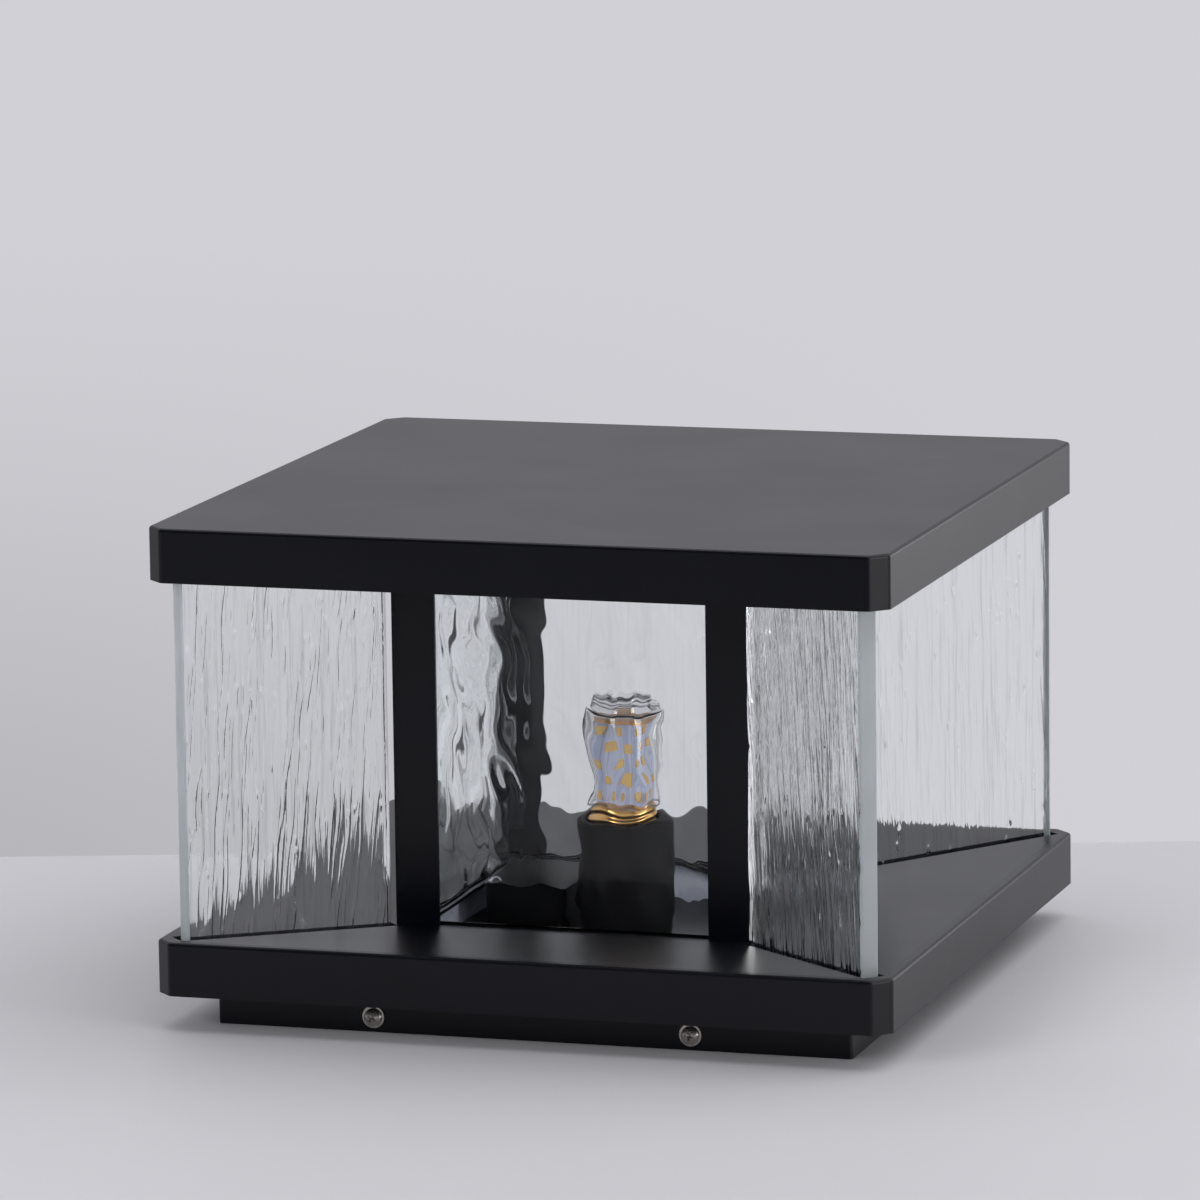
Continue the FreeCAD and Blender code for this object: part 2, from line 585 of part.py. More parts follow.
def make_side_fasteners():
    """The stainless screws and washers that hold the lantern on its bracket, and their rivet nuts."""
    thread = value("side_screw_thread")
    washer = value("washer_thick")
    outside = value("skirt_width / 2")
    screw = screw_solid(thread, value("side_screw_length"),
                        value("side_screw_head"), value("side_screw_dome"))
    group("side_screws", screw, side_places(outside + washer))
    ring = solid_of_turn([(thread / 2, 0), (value("washer_width") / 2, 0),
                          (value("washer_width") / 2, washer), (thread / 2, washer)])
    group("side_washers", ring, side_places(outside))
    flange = value("nut_flange_thick")
    body = value("nut_body") / 2
    tail = value("nut_length")
    nut = solid_of_turn([(thread / 2, -tail), (body, -tail), (body, 0), (value("nut_flange") / 2, 0),
                         (value("nut_flange") / 2, flange), (thread / 2, flange)])
    group("bracket_nuts", nut, side_places(value("skirt_width / 2 - sheet - bracket_gap")))


# The glass box: rings, corner posts, panes and seals

def make_ring(label, low, high, screw_level):
    """A square ring of bare steel that the posts' tongues are screwed to."""
    ring = new_body(label)
    outline = new_sketch(ring, "XY_Plane", low)
    draw_square(outline, "half_ring")
    draw_square(outline, "half_ring - ring_wall")
    pad(ring, outline, "(%s) - (%s)" % (high, low))
    for plane in ("XZ_Plane", "YZ_Plane"):
        holes = new_sketch(ring, plane)
        for side in (1, -1):
            draw_circle(holes, "%d * (half_box - post_leg / 2)" % side, screw_level, "ring_screw_thread")
        cut(ring, holes, "box_width + overrun", both=True)


def make_rings():
    """The base ring under the tray's floor and the top ring above the ceiling plate."""
    make_ring("base_ring", "plate_level", "floor_level - sheet", "floor_level - sheet - ring_screw_inset")
    make_ring("top_ring", "loft_level", "top_level - sheet", "loft_level + ring_screw_inset")


def make_post(label, turned):
    """A corner post: an angle section with a tongue at each end of both legs, drilled for screws."""
    post = new_body(label)
    outer, inner, end = "half_box", "half_box - post_wall", "half_box - post_leg"
    angle = new_sketch(post, "XY_Plane", "floor_level")
    draw_polygon(angle, [(end, inner), (inner, inner), (inner, end),
                         (outer, end), (outer, outer), (end, outer)])
    pad(post, angle, "ceiling_level - floor_level")
    tongues = new_sketch(post, "XY_Plane", "floor_level - tongue_length")
    near, far = "half_box - post_leg / 2 - tongue_width / 2", "half_box - post_leg / 2 + tongue_width / 2"
    draw_rectangle(tongues, inner, outer, near, far)
    draw_rectangle(tongues, near, far, inner, outer)
    pad(post, tongues, "ceiling_level - floor_level + 2 * tongue_length")
    for plane in ("XZ_Plane", "YZ_Plane"):
        holes = new_sketch(post, plane)
        for level in ("floor_level - sheet - ring_screw_inset", "loft_level + ring_screw_inset"):
            draw_circle(holes, "half_box - post_leg / 2", level, "ring_screw_hole")
        cut(post, holes, "box_width + overrun", both=True)
    post.Placement = at(0, 0, 0, turned)


def make_ring_screws():
    """The screws through the posts' tongues into both rings."""
    length = value("post_wall + ring_wall + ring_screw_tip")
    screw = screw_solid(value("ring_screw_thread"), length,
                        value("ring_screw_head"), value("ring_screw_dome"))
    reach = value("half_box - post_leg / 2")
    outside = value("half_box")
    places = []
    for level in (value("floor_level - sheet - ring_screw_inset"), value("loft_level + ring_screw_inset")):
        for quarter in range(len(QUARTERS)):
            turned = FreeCAD.Placement(FreeCAD.Vector(), FreeCAD.Rotation(UP, quarter * QUARTER_TURN))
            for side in (1, -1):
                face = at(side * reach, outside, level, -QUARTER_TURN, FreeCAD.Vector(1, 0, 0))
                places.append(turned.multiply(face))
    group("ring_screws", screw, places)


def make_pane(label, half_length, turned):
    """One pane of the glass box, bevelled along its upright edges."""
    pane = new_body(label)
    outline = new_sketch(pane, "XY_Plane", "floor_level + pane_seal")
    draw_rectangle(outline, "-(%s)" % half_length, half_length, "-pane_face", "-pane_back")
    pad(pane, outline, "ceiling_level - floor_level - 2 * pane_seal")
    dress(pane, "Chamfer", "Size", "fin_bevel", is_upright)
    pane.Placement = at(0, 0, 0, turned)


def make_pane_seal(label, level):
    """A flat square seal as wide as the panes are thick."""
    seal = new_body(label)
    outline = new_sketch(seal, "XY_Plane", level)
    draw_square(outline, "pane_face")
    draw_square(outline, "pane_back")
    pad(seal, outline, "pane_seal")


def make_glass_box():
    """Four corner posts, four panes and the seals that the panes stand between."""
    for quarter, label in enumerate(("post_back_right", "post_back_left",
                                     "post_front_left", "post_front_right")):
        make_post(label, quarter * QUARTER_TURN)
    side_length = "pane_back - pane_joint"
    for quarter, label in enumerate(("pane_front", "pane_right", "pane_back", "pane_left")):
        make_pane(label, "pane_face" if quarter % 2 == 0 else side_length, quarter * QUARTER_TURN)
    make_pane_seal("lower_pane_seal", "floor_level")
    make_pane_seal("upper_pane_seal", "ceiling_level - pane_seal")


# The corner fins and the channels that they stand in

def make_fin(place, turned):
    """One fin of rain glass with its channel and its rubber, drawn along X and turned to its corner."""
    fin = new_body("fin_" + place)
    outline = new_sketch(fin, "XY_Plane", "fin_level")
    draw_rectangle(outline, "fin_start", "fin_reach", "-fin_thick / 2", "fin_thick / 2")
    pad(fin, outline, "loft_level + fin_stub - fin_level")
    dress(fin, "Chamfer", "Size", "fin_bevel", is_upright)

    shoe = new_body("shoe_" + place)
    inner, outer = "fin_thick / 2 + shoe_seal", "fin_thick / 2 + shoe_seal + shoe_wall"
    section = new_sketch(shoe, "YZ_Plane", "fin_start - shoe_end")
    low, high, bed = "plate_level", "plate_level + shoe_height", "plate_level + shoe_wall"
    draw_polygon(section, [("-(%s)" % outer, low), (outer, low), (outer, high), (inner, high), (inner, bed),
                           ("-(%s)" % inner, bed), ("-(%s)" % inner, high), ("-(%s)" % outer, high)])
    pad(shoe, section, "fin_length + 2 * shoe_end")
    holes = new_sketch(shoe, "XY_Plane", "plate_level + shoe_wall")
    for reach in ("fin_start + shoe_screw_inset", "fin_reach - shoe_screw_inset"):
        draw_circle(holes, reach, "0", "shoe_screw_thread")
    cut(shoe, holes, "shoe_wall + overrun")

    rubber = new_body("fin_seal_" + place)
    section = new_sketch(rubber, "YZ_Plane", "fin_start")
    low, bed, glass = "plate_level + shoe_wall", "fin_level", "fin_thick / 2"
    draw_polygon(section, [("-(%s)" % inner, low), (inner, low), (inner, high), (glass, high), (glass, bed),
                           ("-" + glass, bed), ("-" + glass, high), ("-(%s)" % inner, high)])
    pad(rubber, section, "fin_length")

    for piece in (fin, shoe, rubber):
        piece.Placement = at(0, 0, 0, turned)


def make_fins():
    """The four fins on the diagonals and the screws that hold their channels to the bottom plate."""
    for quarter, place in enumerate(("back_right", "back_left", "front_left", "front_right")):
        make_fin(place, HALF_QUARTER + quarter * QUARTER_TURN)
    length = value("sheet + shoe_wall")
    screw = screw_solid(value("shoe_screw_thread"), length,
                        value("shoe_screw_head"), value("shoe_screw_dome"))
    level = value("skirt_height")
    places = []
    for spot in (value("(fin_start + shoe_screw_inset) / sqrt(2)"), value("shoe_spot")):
        for sx, sy in QUARTERS:
            places.append(at(sx * spot, sy * spot, level, FULL_TURN / 2, FreeCAD.Vector(1, 0, 0)))
    group("shoe_screws", screw, places)


# The studs that hold the lid

def make_lid_studs():
    """Studs welded inside the lid, and the nuts that pull the ceiling plate up to the top ring."""
    places = [at(sx * value("stud_spacing / 2"), sy * value("stud_spacing / 2"), 0) for sx, sy in QUARTERS]
    radius = value("stud_thread") / 2
    low, high = value("ceiling_level - stud_tail"), value("top_level - sheet")
    group("lid_studs", solid_of_turn([(0, low), (radius, low), (radius, high), (0, high)]), places)
    level = value("ceiling_level - stud_nut_height")
    nut = hexagon(value("stud_nut_width"), value("stud_nut_height"), level)
    bore = Part.makeCylinder(radius, value("stud_nut_height"), FreeCAD.Vector(0, 0, level))
    group("lid_nuts", nut.cut(bore), places)


# The lamp holder

def make_lamp_holder():
    """The holder: a turned black body with a stepped foot and a deep mouth for the screw shell."""
    holder = new_body("lamp_holder")
    profile = new_sketch(holder, "XZ_Plane")
    foot = "plate_level + holder_foot"
    shell_low = "mouth_level"
    draw_polygon(profile, [
        ("0", "plate_level"), ("holder_waist / 2", "plate_level"), ("holder_waist / 2", foot),
        ("holder_width / 2", foot), ("holder_width / 2", "holder_level"),
        ("holder_mouth / 2", "holder_level"), ("holder_mouth / 2", shell_low), ("0", shell_low)])
    turn(holder, profile)
    dress(holder, "Fillet", "Radius", "holder_rim", lies_at(value("holder_level")))
    holes = new_sketch(holder, "XY_Plane", "plate_level")
    for side in (1, -1):
        draw_circle(holes, "%d * holder_screw_spacing / 2" % side, "0", "holder_screw_thread")
    cut(holder, holes, "holder_screw_length - sheet", upward=True)

    shell = new_body("holder_shell")
    profile = new_sketch(shell, "XZ_Plane")
    low = "mouth_level + thread_shell_lift"
    draw_polygon(profile, [
        ("thread_bore / 2", low), ("thread_bore / 2 + thread_shell_wall", low),
        ("thread_bore / 2 + thread_shell_wall", low + " + thread_shell_height - thread_shell_wall"),
        ("holder_mouth / 2", low + " + thread_shell_height - thread_shell_wall"),
        ("holder_mouth / 2", low + " + thread_shell_height"),
        ("thread_bore / 2", low + " + thread_shell_height")])
    turn(shell, profile)

    contact = new_body("holder_contact")
    blade = new_sketch(contact, "XY_Plane", "mouth_level + contact_rise")
    draw_rectangle(blade, "-contact_length / 2", "contact_length / 2",
                   "-contact_width / 2", "contact_width / 2")
    pad(contact, blade, "contact_thick")
    rivet = draw_circle(new_sketch(contact, "XY_Plane", "mouth_level"), "0", "0", "contact_rivet")
    pad(contact, rivet, "contact_rise")


def make_holder_screws():
    """The two screws from below that hold the lamp holder on the bottom plate."""
    screw = screw_solid(value("holder_screw_thread"), value("holder_screw_length"),
                        value("holder_screw_head"), value("holder_screw_dome"))
    reach = value("holder_screw_spacing / 2")
    level = value("skirt_height")
    sides = [at(side * reach, 0, level, FULL_TURN / 2, FreeCAD.Vector(1, 0, 0)) for side in (1, -1)]
    group("holder_screws", screw, sides)


# The bulb: a screw cap below, and boards of LEDs in a clear cover above

def make_bulb_cap():
    """The screw cap, its insulator and the tip contact, all turned about the bulb's axis."""
    cap = new_body("bulb_cap")
    profile = new_sketch(cap, "XZ_Plane")
    outer, inner, top = "cap_width / 2", "cap_width / 2 - cap_wall", "cap_level + cap_height"
    draw_polygon(profile, [
        (inner, "cap_level"), (outer, "cap_level"), (outer, top), ("0", top), ("0", top + " - cap_wall"),
        (inner, top + " - cap_wall")])
    turn(cap, profile)

    insulator = new_body("bulb_insulator")
    profile = new_sketch(insulator, "XZ_Plane")
    low = "cap_level - insulator_height"
    draw_polygon(profile, [("0", low), ("tip_width / 2", low), (inner, "cap_level"), ("0", "cap_level")])
    turn(insulator, profile)

    tip = new_body("bulb_tip")
    pad(tip, draw_circle(new_sketch(tip, "XY_Plane", "tip_level"), "0", "0", "tip_width"), "tip_height")


def make_bulb_cover():
    """The clear cover: a thin tube with a rounded shoulder and a shallow neck."""
    cover = new_body("bulb_cover")
    profile = new_sketch(cover, "XZ_Plane")
    outer, neck, top = "cover_width / 2", "cover_neck / 2", "bulb_level + cover_height"
    shoulder = top + " - cover_step"
    draw_polygon(profile, [
        (outer + " - cover_wall", "bulb_level"), (outer, "bulb_level"), (outer, shoulder), (neck, shoulder),
        (neck, top), ("0", top), ("0", top + " - cover_wall"),
        (neck + " - cover_wall", top + " - cover_wall"),
        (neck + " - cover_wall", shoulder + " - cover_wall"),
        (outer + " - cover_wall", shoulder + " - cover_wall")])
    turn(cover, profile)
    shoulder_level = value(shoulder)
    widest = value(outer)
    dress(cover, "Fillet", "Radius", "cover_wall + cover_wall / 2",
          lambda edge: lies_at(shoulder_level)(edge) and edge.BoundBox.XMax > widest - TINY)


def make_bulb_core():
    """The square column of LED boards, the plates that hold it, and its LEDs."""
    core = new_body("bulb_core")
    low = "bulb_level + core_plate"
    pad(core, draw_square(new_sketch(core, "XY_Plane", low), "core_width / 2"), "core_height")
    core.Placement = at(0, 0, 0, value("core_angle"))

    half = value("core_width / 2")
    rows = int(value("chip_rows"))
    pitch = value("core_height") / rows
    chip_size = (value("chip_thick"), value("chip_width"), value("chip_height"))
    chip = Part.makeBox(*chip_size, FreeCAD.Vector(half, -chip_size[1] / 2, -chip_size[2] / 2))
    stagger_share = 0.25
    places = []
    for quarter in range(len(QUARTERS)):
        turned = at(0, 0, 0, value("core_angle") + quarter * QUARTER_TURN)
        for row in range(rows):
            shift = stagger_share * (1 if row % 2 else -1)
            level = value(low) + pitch * (row + 1 / 2)
            for side in (1 / 2, -1 / 2):
                spot = (side + shift) * value("chip_spread")
                places.append(turned.multiply(at(0, spot, level)))
    group("led_chips", chip, places)

    plate = solid_of_turn([(0, 0), (value("core_plate_width") / 2, 0),
                           (value("core_plate_width") / 2, value("core_plate")), (0, value("core_plate"))])
    levels = (value("bulb_level"), value(low + " + core_height"))
    group("core_plates", plate, [at(0, 0, level) for level in levels])


# The supply side: terminal box, terminal block, cable gland and earth stud

def make_terminal_box():
    """The terminal box beside the lamp holder, with its cover and the two posts for the cover screws."""
    box = new_body("terminal_box")
    half_x, half_y = "terminal_width / 2", "terminal_depth / 2"
    outline = new_sketch(box, "XY_Plane")
    draw_rectangle(outline, "-" + half_x, half_x, "-" + half_y, half_y)
    pad(box, outline, "terminal_height")
    dress(box, "Fillet", "Radius", "terminal_round", is_upright)
    hollow = new_sketch(box, "XY_Plane", "terminal_height")
    draw_rectangle(hollow, "-%s + terminal_wall" % half_x, half_x + " - terminal_wall",
                   "-%s + terminal_wall" % half_y, half_y + " - terminal_wall")
    cut(box, hollow, "terminal_height - terminal_wall")
    places = [("-%s + terminal_screw_inset" % half_x, "-%s + terminal_screw_inset" % half_y),
              (half_x + " - terminal_screw_inset", half_y + " - terminal_screw_inset")]
    posts = new_sketch(box, "XY_Plane")
    for x, y in places:
        draw_circle(posts, x, y, "terminal_post")
    pad(box, posts, "terminal_height")
    bores = new_sketch(box, "XY_Plane", "terminal_height")
    for x, y in places:
        draw_circle(bores, x, y, "terminal_screw_thread")
    cut(box, bores, "terminal_screw_length")
    entry = draw_circle(new_sketch(box, "XY_Plane", "terminal_wall"), "0", "-gland_shift", "gland_hole")
    cut(box, entry, "terminal_wall + overrun")

    cover = new_body("terminal_cover")
    outline = new_sketch(cover, "XY_Plane", "terminal_height")
    draw_rectangle(outline, "-" + half_x, half_x, "-" + half_y, half_y)
    pad(cover, outline, "terminal_wall")
    dress(cover, "Fillet", "Radius", "terminal_round", is_upright)
    holes = new_sketch(cover, "XY_Plane", "terminal_height + terminal_wall")
    for x, y in places:
        draw_circle(holes, x, y, "terminal_screw_thread + 2 * terminal_hole_gap")
    cut(cover, holes, "terminal_wall + overrun")

    block = new_body("terminal_block")
    outline = new_sketch(block, "XY_Plane", "terminal_wall")
    draw_rectangle(outline, "-block_width / 2", "block_width / 2",
                   "block_shift - block_depth / 2", "block_shift + block_depth / 2")
    pad(block, outline, "block_height")
    bores = new_sketch(block, "XZ_Plane")
    for x in ("-block_pitch", "0", "block_pitch"):
        draw_circle(bores, x, "terminal_wall + block_height / 2", "block_bore")
    cut(block, bores, "terminal_depth", upward=False, both=True)

    place = at(-value("terminal_place"), value("terminal_shift"), value("plate_level"))
    for piece in (box, cover, block):
        piece.Placement = place
    screw = screw_solid(value("terminal_screw_thread"), value("terminal_screw_length"),
                        value("terminal_screw_head"), value("terminal_screw_dome"))
    top = value("terminal_height + terminal_wall")
    spots = [place.multiply(at(value(x), value(y), top)) for x, y in places]
    group("terminal_screws", screw, spots)


def make_cable_gland():
    """The gland: a hexagon and a dome nut under the bottom plate, and a lock nut in the terminal box."""
    twelfth_turn = FULL_TURN / 12
    place = at(-value("terminal_place"), value("gland_place"), 0, twelfth_turn)
    bore = value("gland_bore") / 2
    thread = value("gland_thread") / 2
    plate = value("skirt_height")
    inside = value("plate_level + terminal_wall")
    flange = plate - value("gland_flange")
    low = flange - value("gland_dome")
    dome = value("gland_dome_width") / 2
    taper_share = 0.82
    tube = solid_of_turn([(bore, low), (dome * taper_share, low), (dome, low + value("gland_dome") / 2),
                          (dome, flange), (thread, flange), (thread, inside + value("gland_nut")),
                          (bore, inside + value("gland_nut"))])
    body = hexagon(value("gland_hex"), value("gland_flange"), flange)
    hole = Part.makeCylinder(bore, value("gland_flange"), FreeCAD.Vector(0, 0, flange))
    group("cable_gland", tube.fuse(body.cut(hole)).removeSplitter(), [place])
    nut = hexagon(value("gland_hex"), value("gland_nut"), inside)
    hole = Part.makeCylinder(thread, value("gland_nut"), FreeCAD.Vector(0, 0, inside))
    group("gland_nut", nut.cut(hole), [place])


def make_earth_stud():
    """The brass earth stud on the bottom plate, with its nut."""
    place = [at(value("earth_place"), value("earth_place"), 0)]
    radius = value("earth_thread") / 2
    low, level = value("skirt_height"), value("plate_level")
    stud = solid_of_turn([(0, low), (radius, low), (radius, level + value("earth_height")),
                          (0, level + value("earth_height"))])
    group("earth_stud", stud, place)
    nut = hexagon(value("earth_nut_width"), value("earth_nut_height"), level)
    bore = Part.makeCylinder(radius, value("earth_nut_height"), FreeCAD.Vector(0, 0, level))
    group("earth_nut", nut.cut(bore), place)


# Build every piece, check it and write it

make_post_bracket()
make_skirt()
make_side_fasteners()
make_plates()
make_base_tray()
make_rings()
make_glass_box()
make_ring_screws()
make_fins()
make_lid()
make_lid_studs()
make_lamp_holder()
make_holder_screws()
make_bulb_cap()
make_bulb_cover()
make_bulb_core()
make_terminal_box()
make_cable_gland()
make_earth_stud()
doc.recompute()

nodes = [item for item in doc.Objects if item.isDerivedFrom("PartDesign::Body")]
nodes += [item for item in doc.Objects if item.TypeId == "Part::Feature"]
faults = [item.Label for item in doc.Objects if {"Invalid", "Error"} & set(item.State)]
faults += [item.Label for item in nodes if item.Shape.isNull() or not item.Shape.isValid()]
if faults:
    raise ValueError("failed: " + ", ".join(faults))

for item in nodes:
    item.Shape.exportStep("parts/%s.step" % item.Label)
    box = item.Shape.BoundBox
    print("%-18s %2d solids %11.1f mm3  z %6.1f to %6.1f" % (
        item.Label, len(item.Shape.Solids), item.Shape.Volume, box.ZMin, box.ZMax))
print(len(nodes), "nodes")
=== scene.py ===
import math

import bmesh
import bpy
import mathutils
import numpy as np
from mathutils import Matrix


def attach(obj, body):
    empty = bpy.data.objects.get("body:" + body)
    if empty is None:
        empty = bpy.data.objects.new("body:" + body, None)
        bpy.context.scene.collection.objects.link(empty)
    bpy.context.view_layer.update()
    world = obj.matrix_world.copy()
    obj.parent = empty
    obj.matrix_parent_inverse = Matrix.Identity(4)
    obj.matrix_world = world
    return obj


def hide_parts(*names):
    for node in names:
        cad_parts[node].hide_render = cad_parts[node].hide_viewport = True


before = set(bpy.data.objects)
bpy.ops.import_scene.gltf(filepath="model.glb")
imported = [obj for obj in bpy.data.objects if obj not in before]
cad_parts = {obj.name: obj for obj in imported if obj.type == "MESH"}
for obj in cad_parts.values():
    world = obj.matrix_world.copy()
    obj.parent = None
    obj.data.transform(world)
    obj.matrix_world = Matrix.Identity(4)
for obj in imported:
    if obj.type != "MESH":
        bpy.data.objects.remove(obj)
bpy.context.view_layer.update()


# Mounting skirt, bottom plate, base tray, lid, ceiling plate and corner posts
#
# Folded sheet steel, powder coated black all over after folding. The coat is satin, with a fine
# orange peel that only shows where a surface mirrors the pale room at a low angle.

MM = 0.001


def hex_colour(text):
    """A colour written as six sRGB hex digits, as linear red, green, blue and full alpha."""
    shades = [int(text[k:k + 2], 16) / 255 for k in (1, 3, 5)]
    return [s / 12.92 if s <= 0.04045 else ((s + 0.055) / 1.055) ** 2.4 for s in shades] + [1.0]


def add_node(tree, kind, settings=(), links=()):
    """A node of one kind, with its settings by socket or property name, and links into its sockets."""
    node = tree.nodes.new(kind)
    for key, setting in dict(settings).items():
        if isinstance(key, int) or key in node.inputs:
            node.inputs[key].default_value = setting
        else:
            setattr(node, key, setting)
    for key, source in dict(links).items():
        tree.links.new(source, node.inputs[key])
    return node


def start_material(name):
    """An empty material: its node tree, its shader and the place on the object in metres."""
    made = bpy.data.materials.new(name)
    made.use_nodes = True
    tree = made.node_tree
    tree.nodes.clear()
    shader = add_node(tree, "ShaderNodeBsdfPrincipled")
    add_node(tree, "ShaderNodeOutputMaterial", links={"Surface": shader.outputs["BSDF"]})
    place = add_node(tree, "ShaderNodeTexCoord").outputs["Object"]
    return made, tree, shader, place


def dress(material, *names):
    """Give CAD nodes a material in their own slot."""
    for name in names:
        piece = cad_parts[name]
        piece.data.materials.clear()
        piece.data.materials.append(material)


def powder_coat():
    """Black polyester powder coat: near-black, satin, with grains 0.9 mm apart and a cloudy sheen."""
    made, tree, shader, place = start_material("black_powder_coat_sprayed")
    peel = add_node(tree, "ShaderNodeTexNoise", {"Scale": 1 / (0.9 * MM), "Detail": 2.0, "Roughness": 0.6},
                    {"Vector": place})
    cloud = add_node(tree, "ShaderNodeTexNoise", {"Scale": 1 / (70 * MM), "Detail": 4.0, "Roughness": 0.55},
                     {"Vector": place})
    gloss = add_node(tree, "ShaderNodeMapRange",
                     {"From Min": 0.3, "From Max": 0.7, "To Min": 0.34, "To Max": 0.37},
                     {"Value": cloud.outputs["Fac"]})
    tone = add_node(tree, "ShaderNodeValToRGB", links={"Fac": cloud.outputs["Fac"]})
    tone.color_ramp.elements[0].position = 0.3
    tone.color_ramp.elements[0].color = hex_colour("#04050B")
    tone.color_ramp.elements[1].position = 0.7
    tone.color_ramp.elements[1].color = hex_colour("#07080F")
    bump = add_node(tree, "ShaderNodeBump", {"Strength": 0.6, "Distance": 0.03 * MM},
                    {"Height": peel.outputs["Fac"]})
    shader.inputs["IOR"].default_value = 1.46
    shader.inputs["Specular IOR Level"].default_value = 0.34
    for socket, source in (("Base Color", tone.outputs["Color"]), ("Roughness", gloss.outputs["Result"]),
                           ("Normal", bump.outputs["Normal"])):
        tree.links.new(source, shader.inputs[socket])
    return made


CORNERS = ("front_left", "front_right", "back_left", "back_right")
coat = powder_coat()
dress(coat, "mounting_skirt", "bottom_plate", "base_tray", "lid", "ceiling_plate")
dress(coat, *["post_" + corner for corner in CORNERS])


# Post bracket, the two rings and the fins' shoes
#
# Galvanised sheet, cut and folded, phosphated and never painted, because nothing but the well under
# the glass box shows it. It is matt and pale, with faint zinc spangles a few millimetres across.

def galvanised():
    """Phosphated zinc on steel: matt and pale, with 6 mm spangles that differ in tone; its lavender cast is
    painted in for the bluish shade light in the well.
    """
    made, tree, shader, place = start_material("galvanised_steel_phosphated")
    spangle = add_node(tree, "ShaderNodeTexVoronoi", {"Scale": 1 / (6 * MM)}, {"Vector": place})
    grain = add_node(tree, "ShaderNodeTexNoise", {"Scale": 1 / (0.8 * MM), "Detail": 2.0},
                     {"Vector": place})
    level = add_node(tree, "ShaderNodeSeparateColor", links={"Color": spangle.outputs["Color"]})
    gloss = add_node(tree, "ShaderNodeMapRange", {"To Min": 0.75, "To Max": 0.9},
                     {"Value": level.outputs["Red"]})
    tone = add_node(tree, "ShaderNodeValToRGB", links={"Fac": level.outputs["Green"]})
    # Painted shade: the lavender in these two colours stands in for the bluish light in the well, not the
    # zinc's own colour.
    tone.color_ramp.elements[0].color = hex_colour("#CDD0E2")
    tone.color_ramp.elements[1].color = hex_colour("#E2E4F2")
    bump = add_node(tree, "ShaderNodeBump", {"Strength": 0.3, "Distance": 0.02 * MM},
                    {"Height": grain.outputs["Fac"]})
    shader.inputs["Specular IOR Level"].default_value = 0.2
    for socket, source in (("Base Color", tone.outputs["Color"]), ("Roughness", gloss.outputs["Result"]),
                           ("Normal", bump.outputs["Normal"])):
        tree.links.new(source, shader.inputs[socket])
    return made


zinc = galvanised()
dress(zinc, "post_bracket", "base_ring", "top_ring", *["shoe_" + corner for corner in CORNERS])


# Screws, washers, nuts and studs
#
# Stainless where the weather reaches them, zinc plated inside, and blackened under the base. They
# are turned or rolled, so their gloss runs round them.

def turned_metal(name, low, high, rough):
    """Turned metal between two tones, with fine machining marks 0.25 mm apart along its height."""
    made, tree, shader, place = start_material(name)
    marks = add_node(tree, "ShaderNodeTexNoise", {"Scale": 1 / (0.25 * MM), "Detail": 1.0},
                     {"Vector": place})
    gloss = add_node(tree, "ShaderNodeMapRange", {"To Min": rough - 0.06, "To Max": rough + 0.06},
                     {"Value": marks.outputs["Fac"]})
    tone = add_node(tree, "ShaderNodeValToRGB", links={"Fac": marks.outputs["Fac"]})
    tone.color_ramp.elements[0].color = hex_colour(low)
    tone.color_ramp.elements[1].color = hex_colour(high)
    shader.inputs["Metallic"].default_value = 1.0
    tree.links.new(tone.outputs["Color"], shader.inputs["Base Color"])
    tree.links.new(gloss.outputs["Result"], shader.inputs["Roughness"])
    return made


stainless = turned_metal("stainless_steel_turned", "#B5AFA8", "#CFCAC4", 0.26)
dress(stainless, "side_washers", "ring_screws")
zinc_plate = turned_metal("zinc_plated_steel", "#A9ABB2", "#C4C6CC", 0.34)
dress(zinc_plate, "bracket_nuts", "lid_studs", "lid_nuts", "holder_screws", "terminal_screws")
blackened = turned_metal("steel_blackened", "#1B1C1F", "#26272B", 0.45)
dress(blackened, "shoe_screws")


def turned_surface(name, radius, level, closed_low=True, closed_high=True, place=None):
    """A surface turned round Z: radius and level are arrays of rows up and columns round, in mm.

    A point is (radius cos angle, radius sin angle, level), then moved by the placement, if there is one.
    """
    rows, columns = radius.shape
    theta = np.linspace(0, 2 * np.pi, columns, endpoint=False)
    points = np.stack([radius * np.cos(theta), radius * np.sin(theta), level], axis=-1).reshape(-1, 3) * MM
    if place is not None:
        points = points @ np.array(place.to_3x3()).T + np.array(place.translation)
    here = np.arange(columns)
    after = (here + 1) % columns
    base = (np.arange(rows - 1) * columns)[:, None]
    faces = np.stack([base + here, base + after, base + columns + after, base + columns + here],
                     axis=-1).reshape(-1, 4).tolist()
    if closed_low:
        faces.append(here[::-1].tolist())
    if closed_high:
        faces.append((here + (rows - 1) * columns).tolist())
    mesh = bpy.data.meshes.new(name)
    mesh.from_pydata(points, [], faces)
    mesh.polygons.foreach_set("use_smooth", np.ones(len(faces), dtype=bool))
    mesh.set_sharp_from_angle(angle=math.radians(40))
    piece = bpy.data.objects.new(name, mesh)
    bpy.context.scene.collection.objects.link(piece)
    return piece


SIDE_SCREW_REACH, SIDE_SCREW_LEVEL, SIDE_SCREW_SEAT = 65.0, 6.2, 130.8


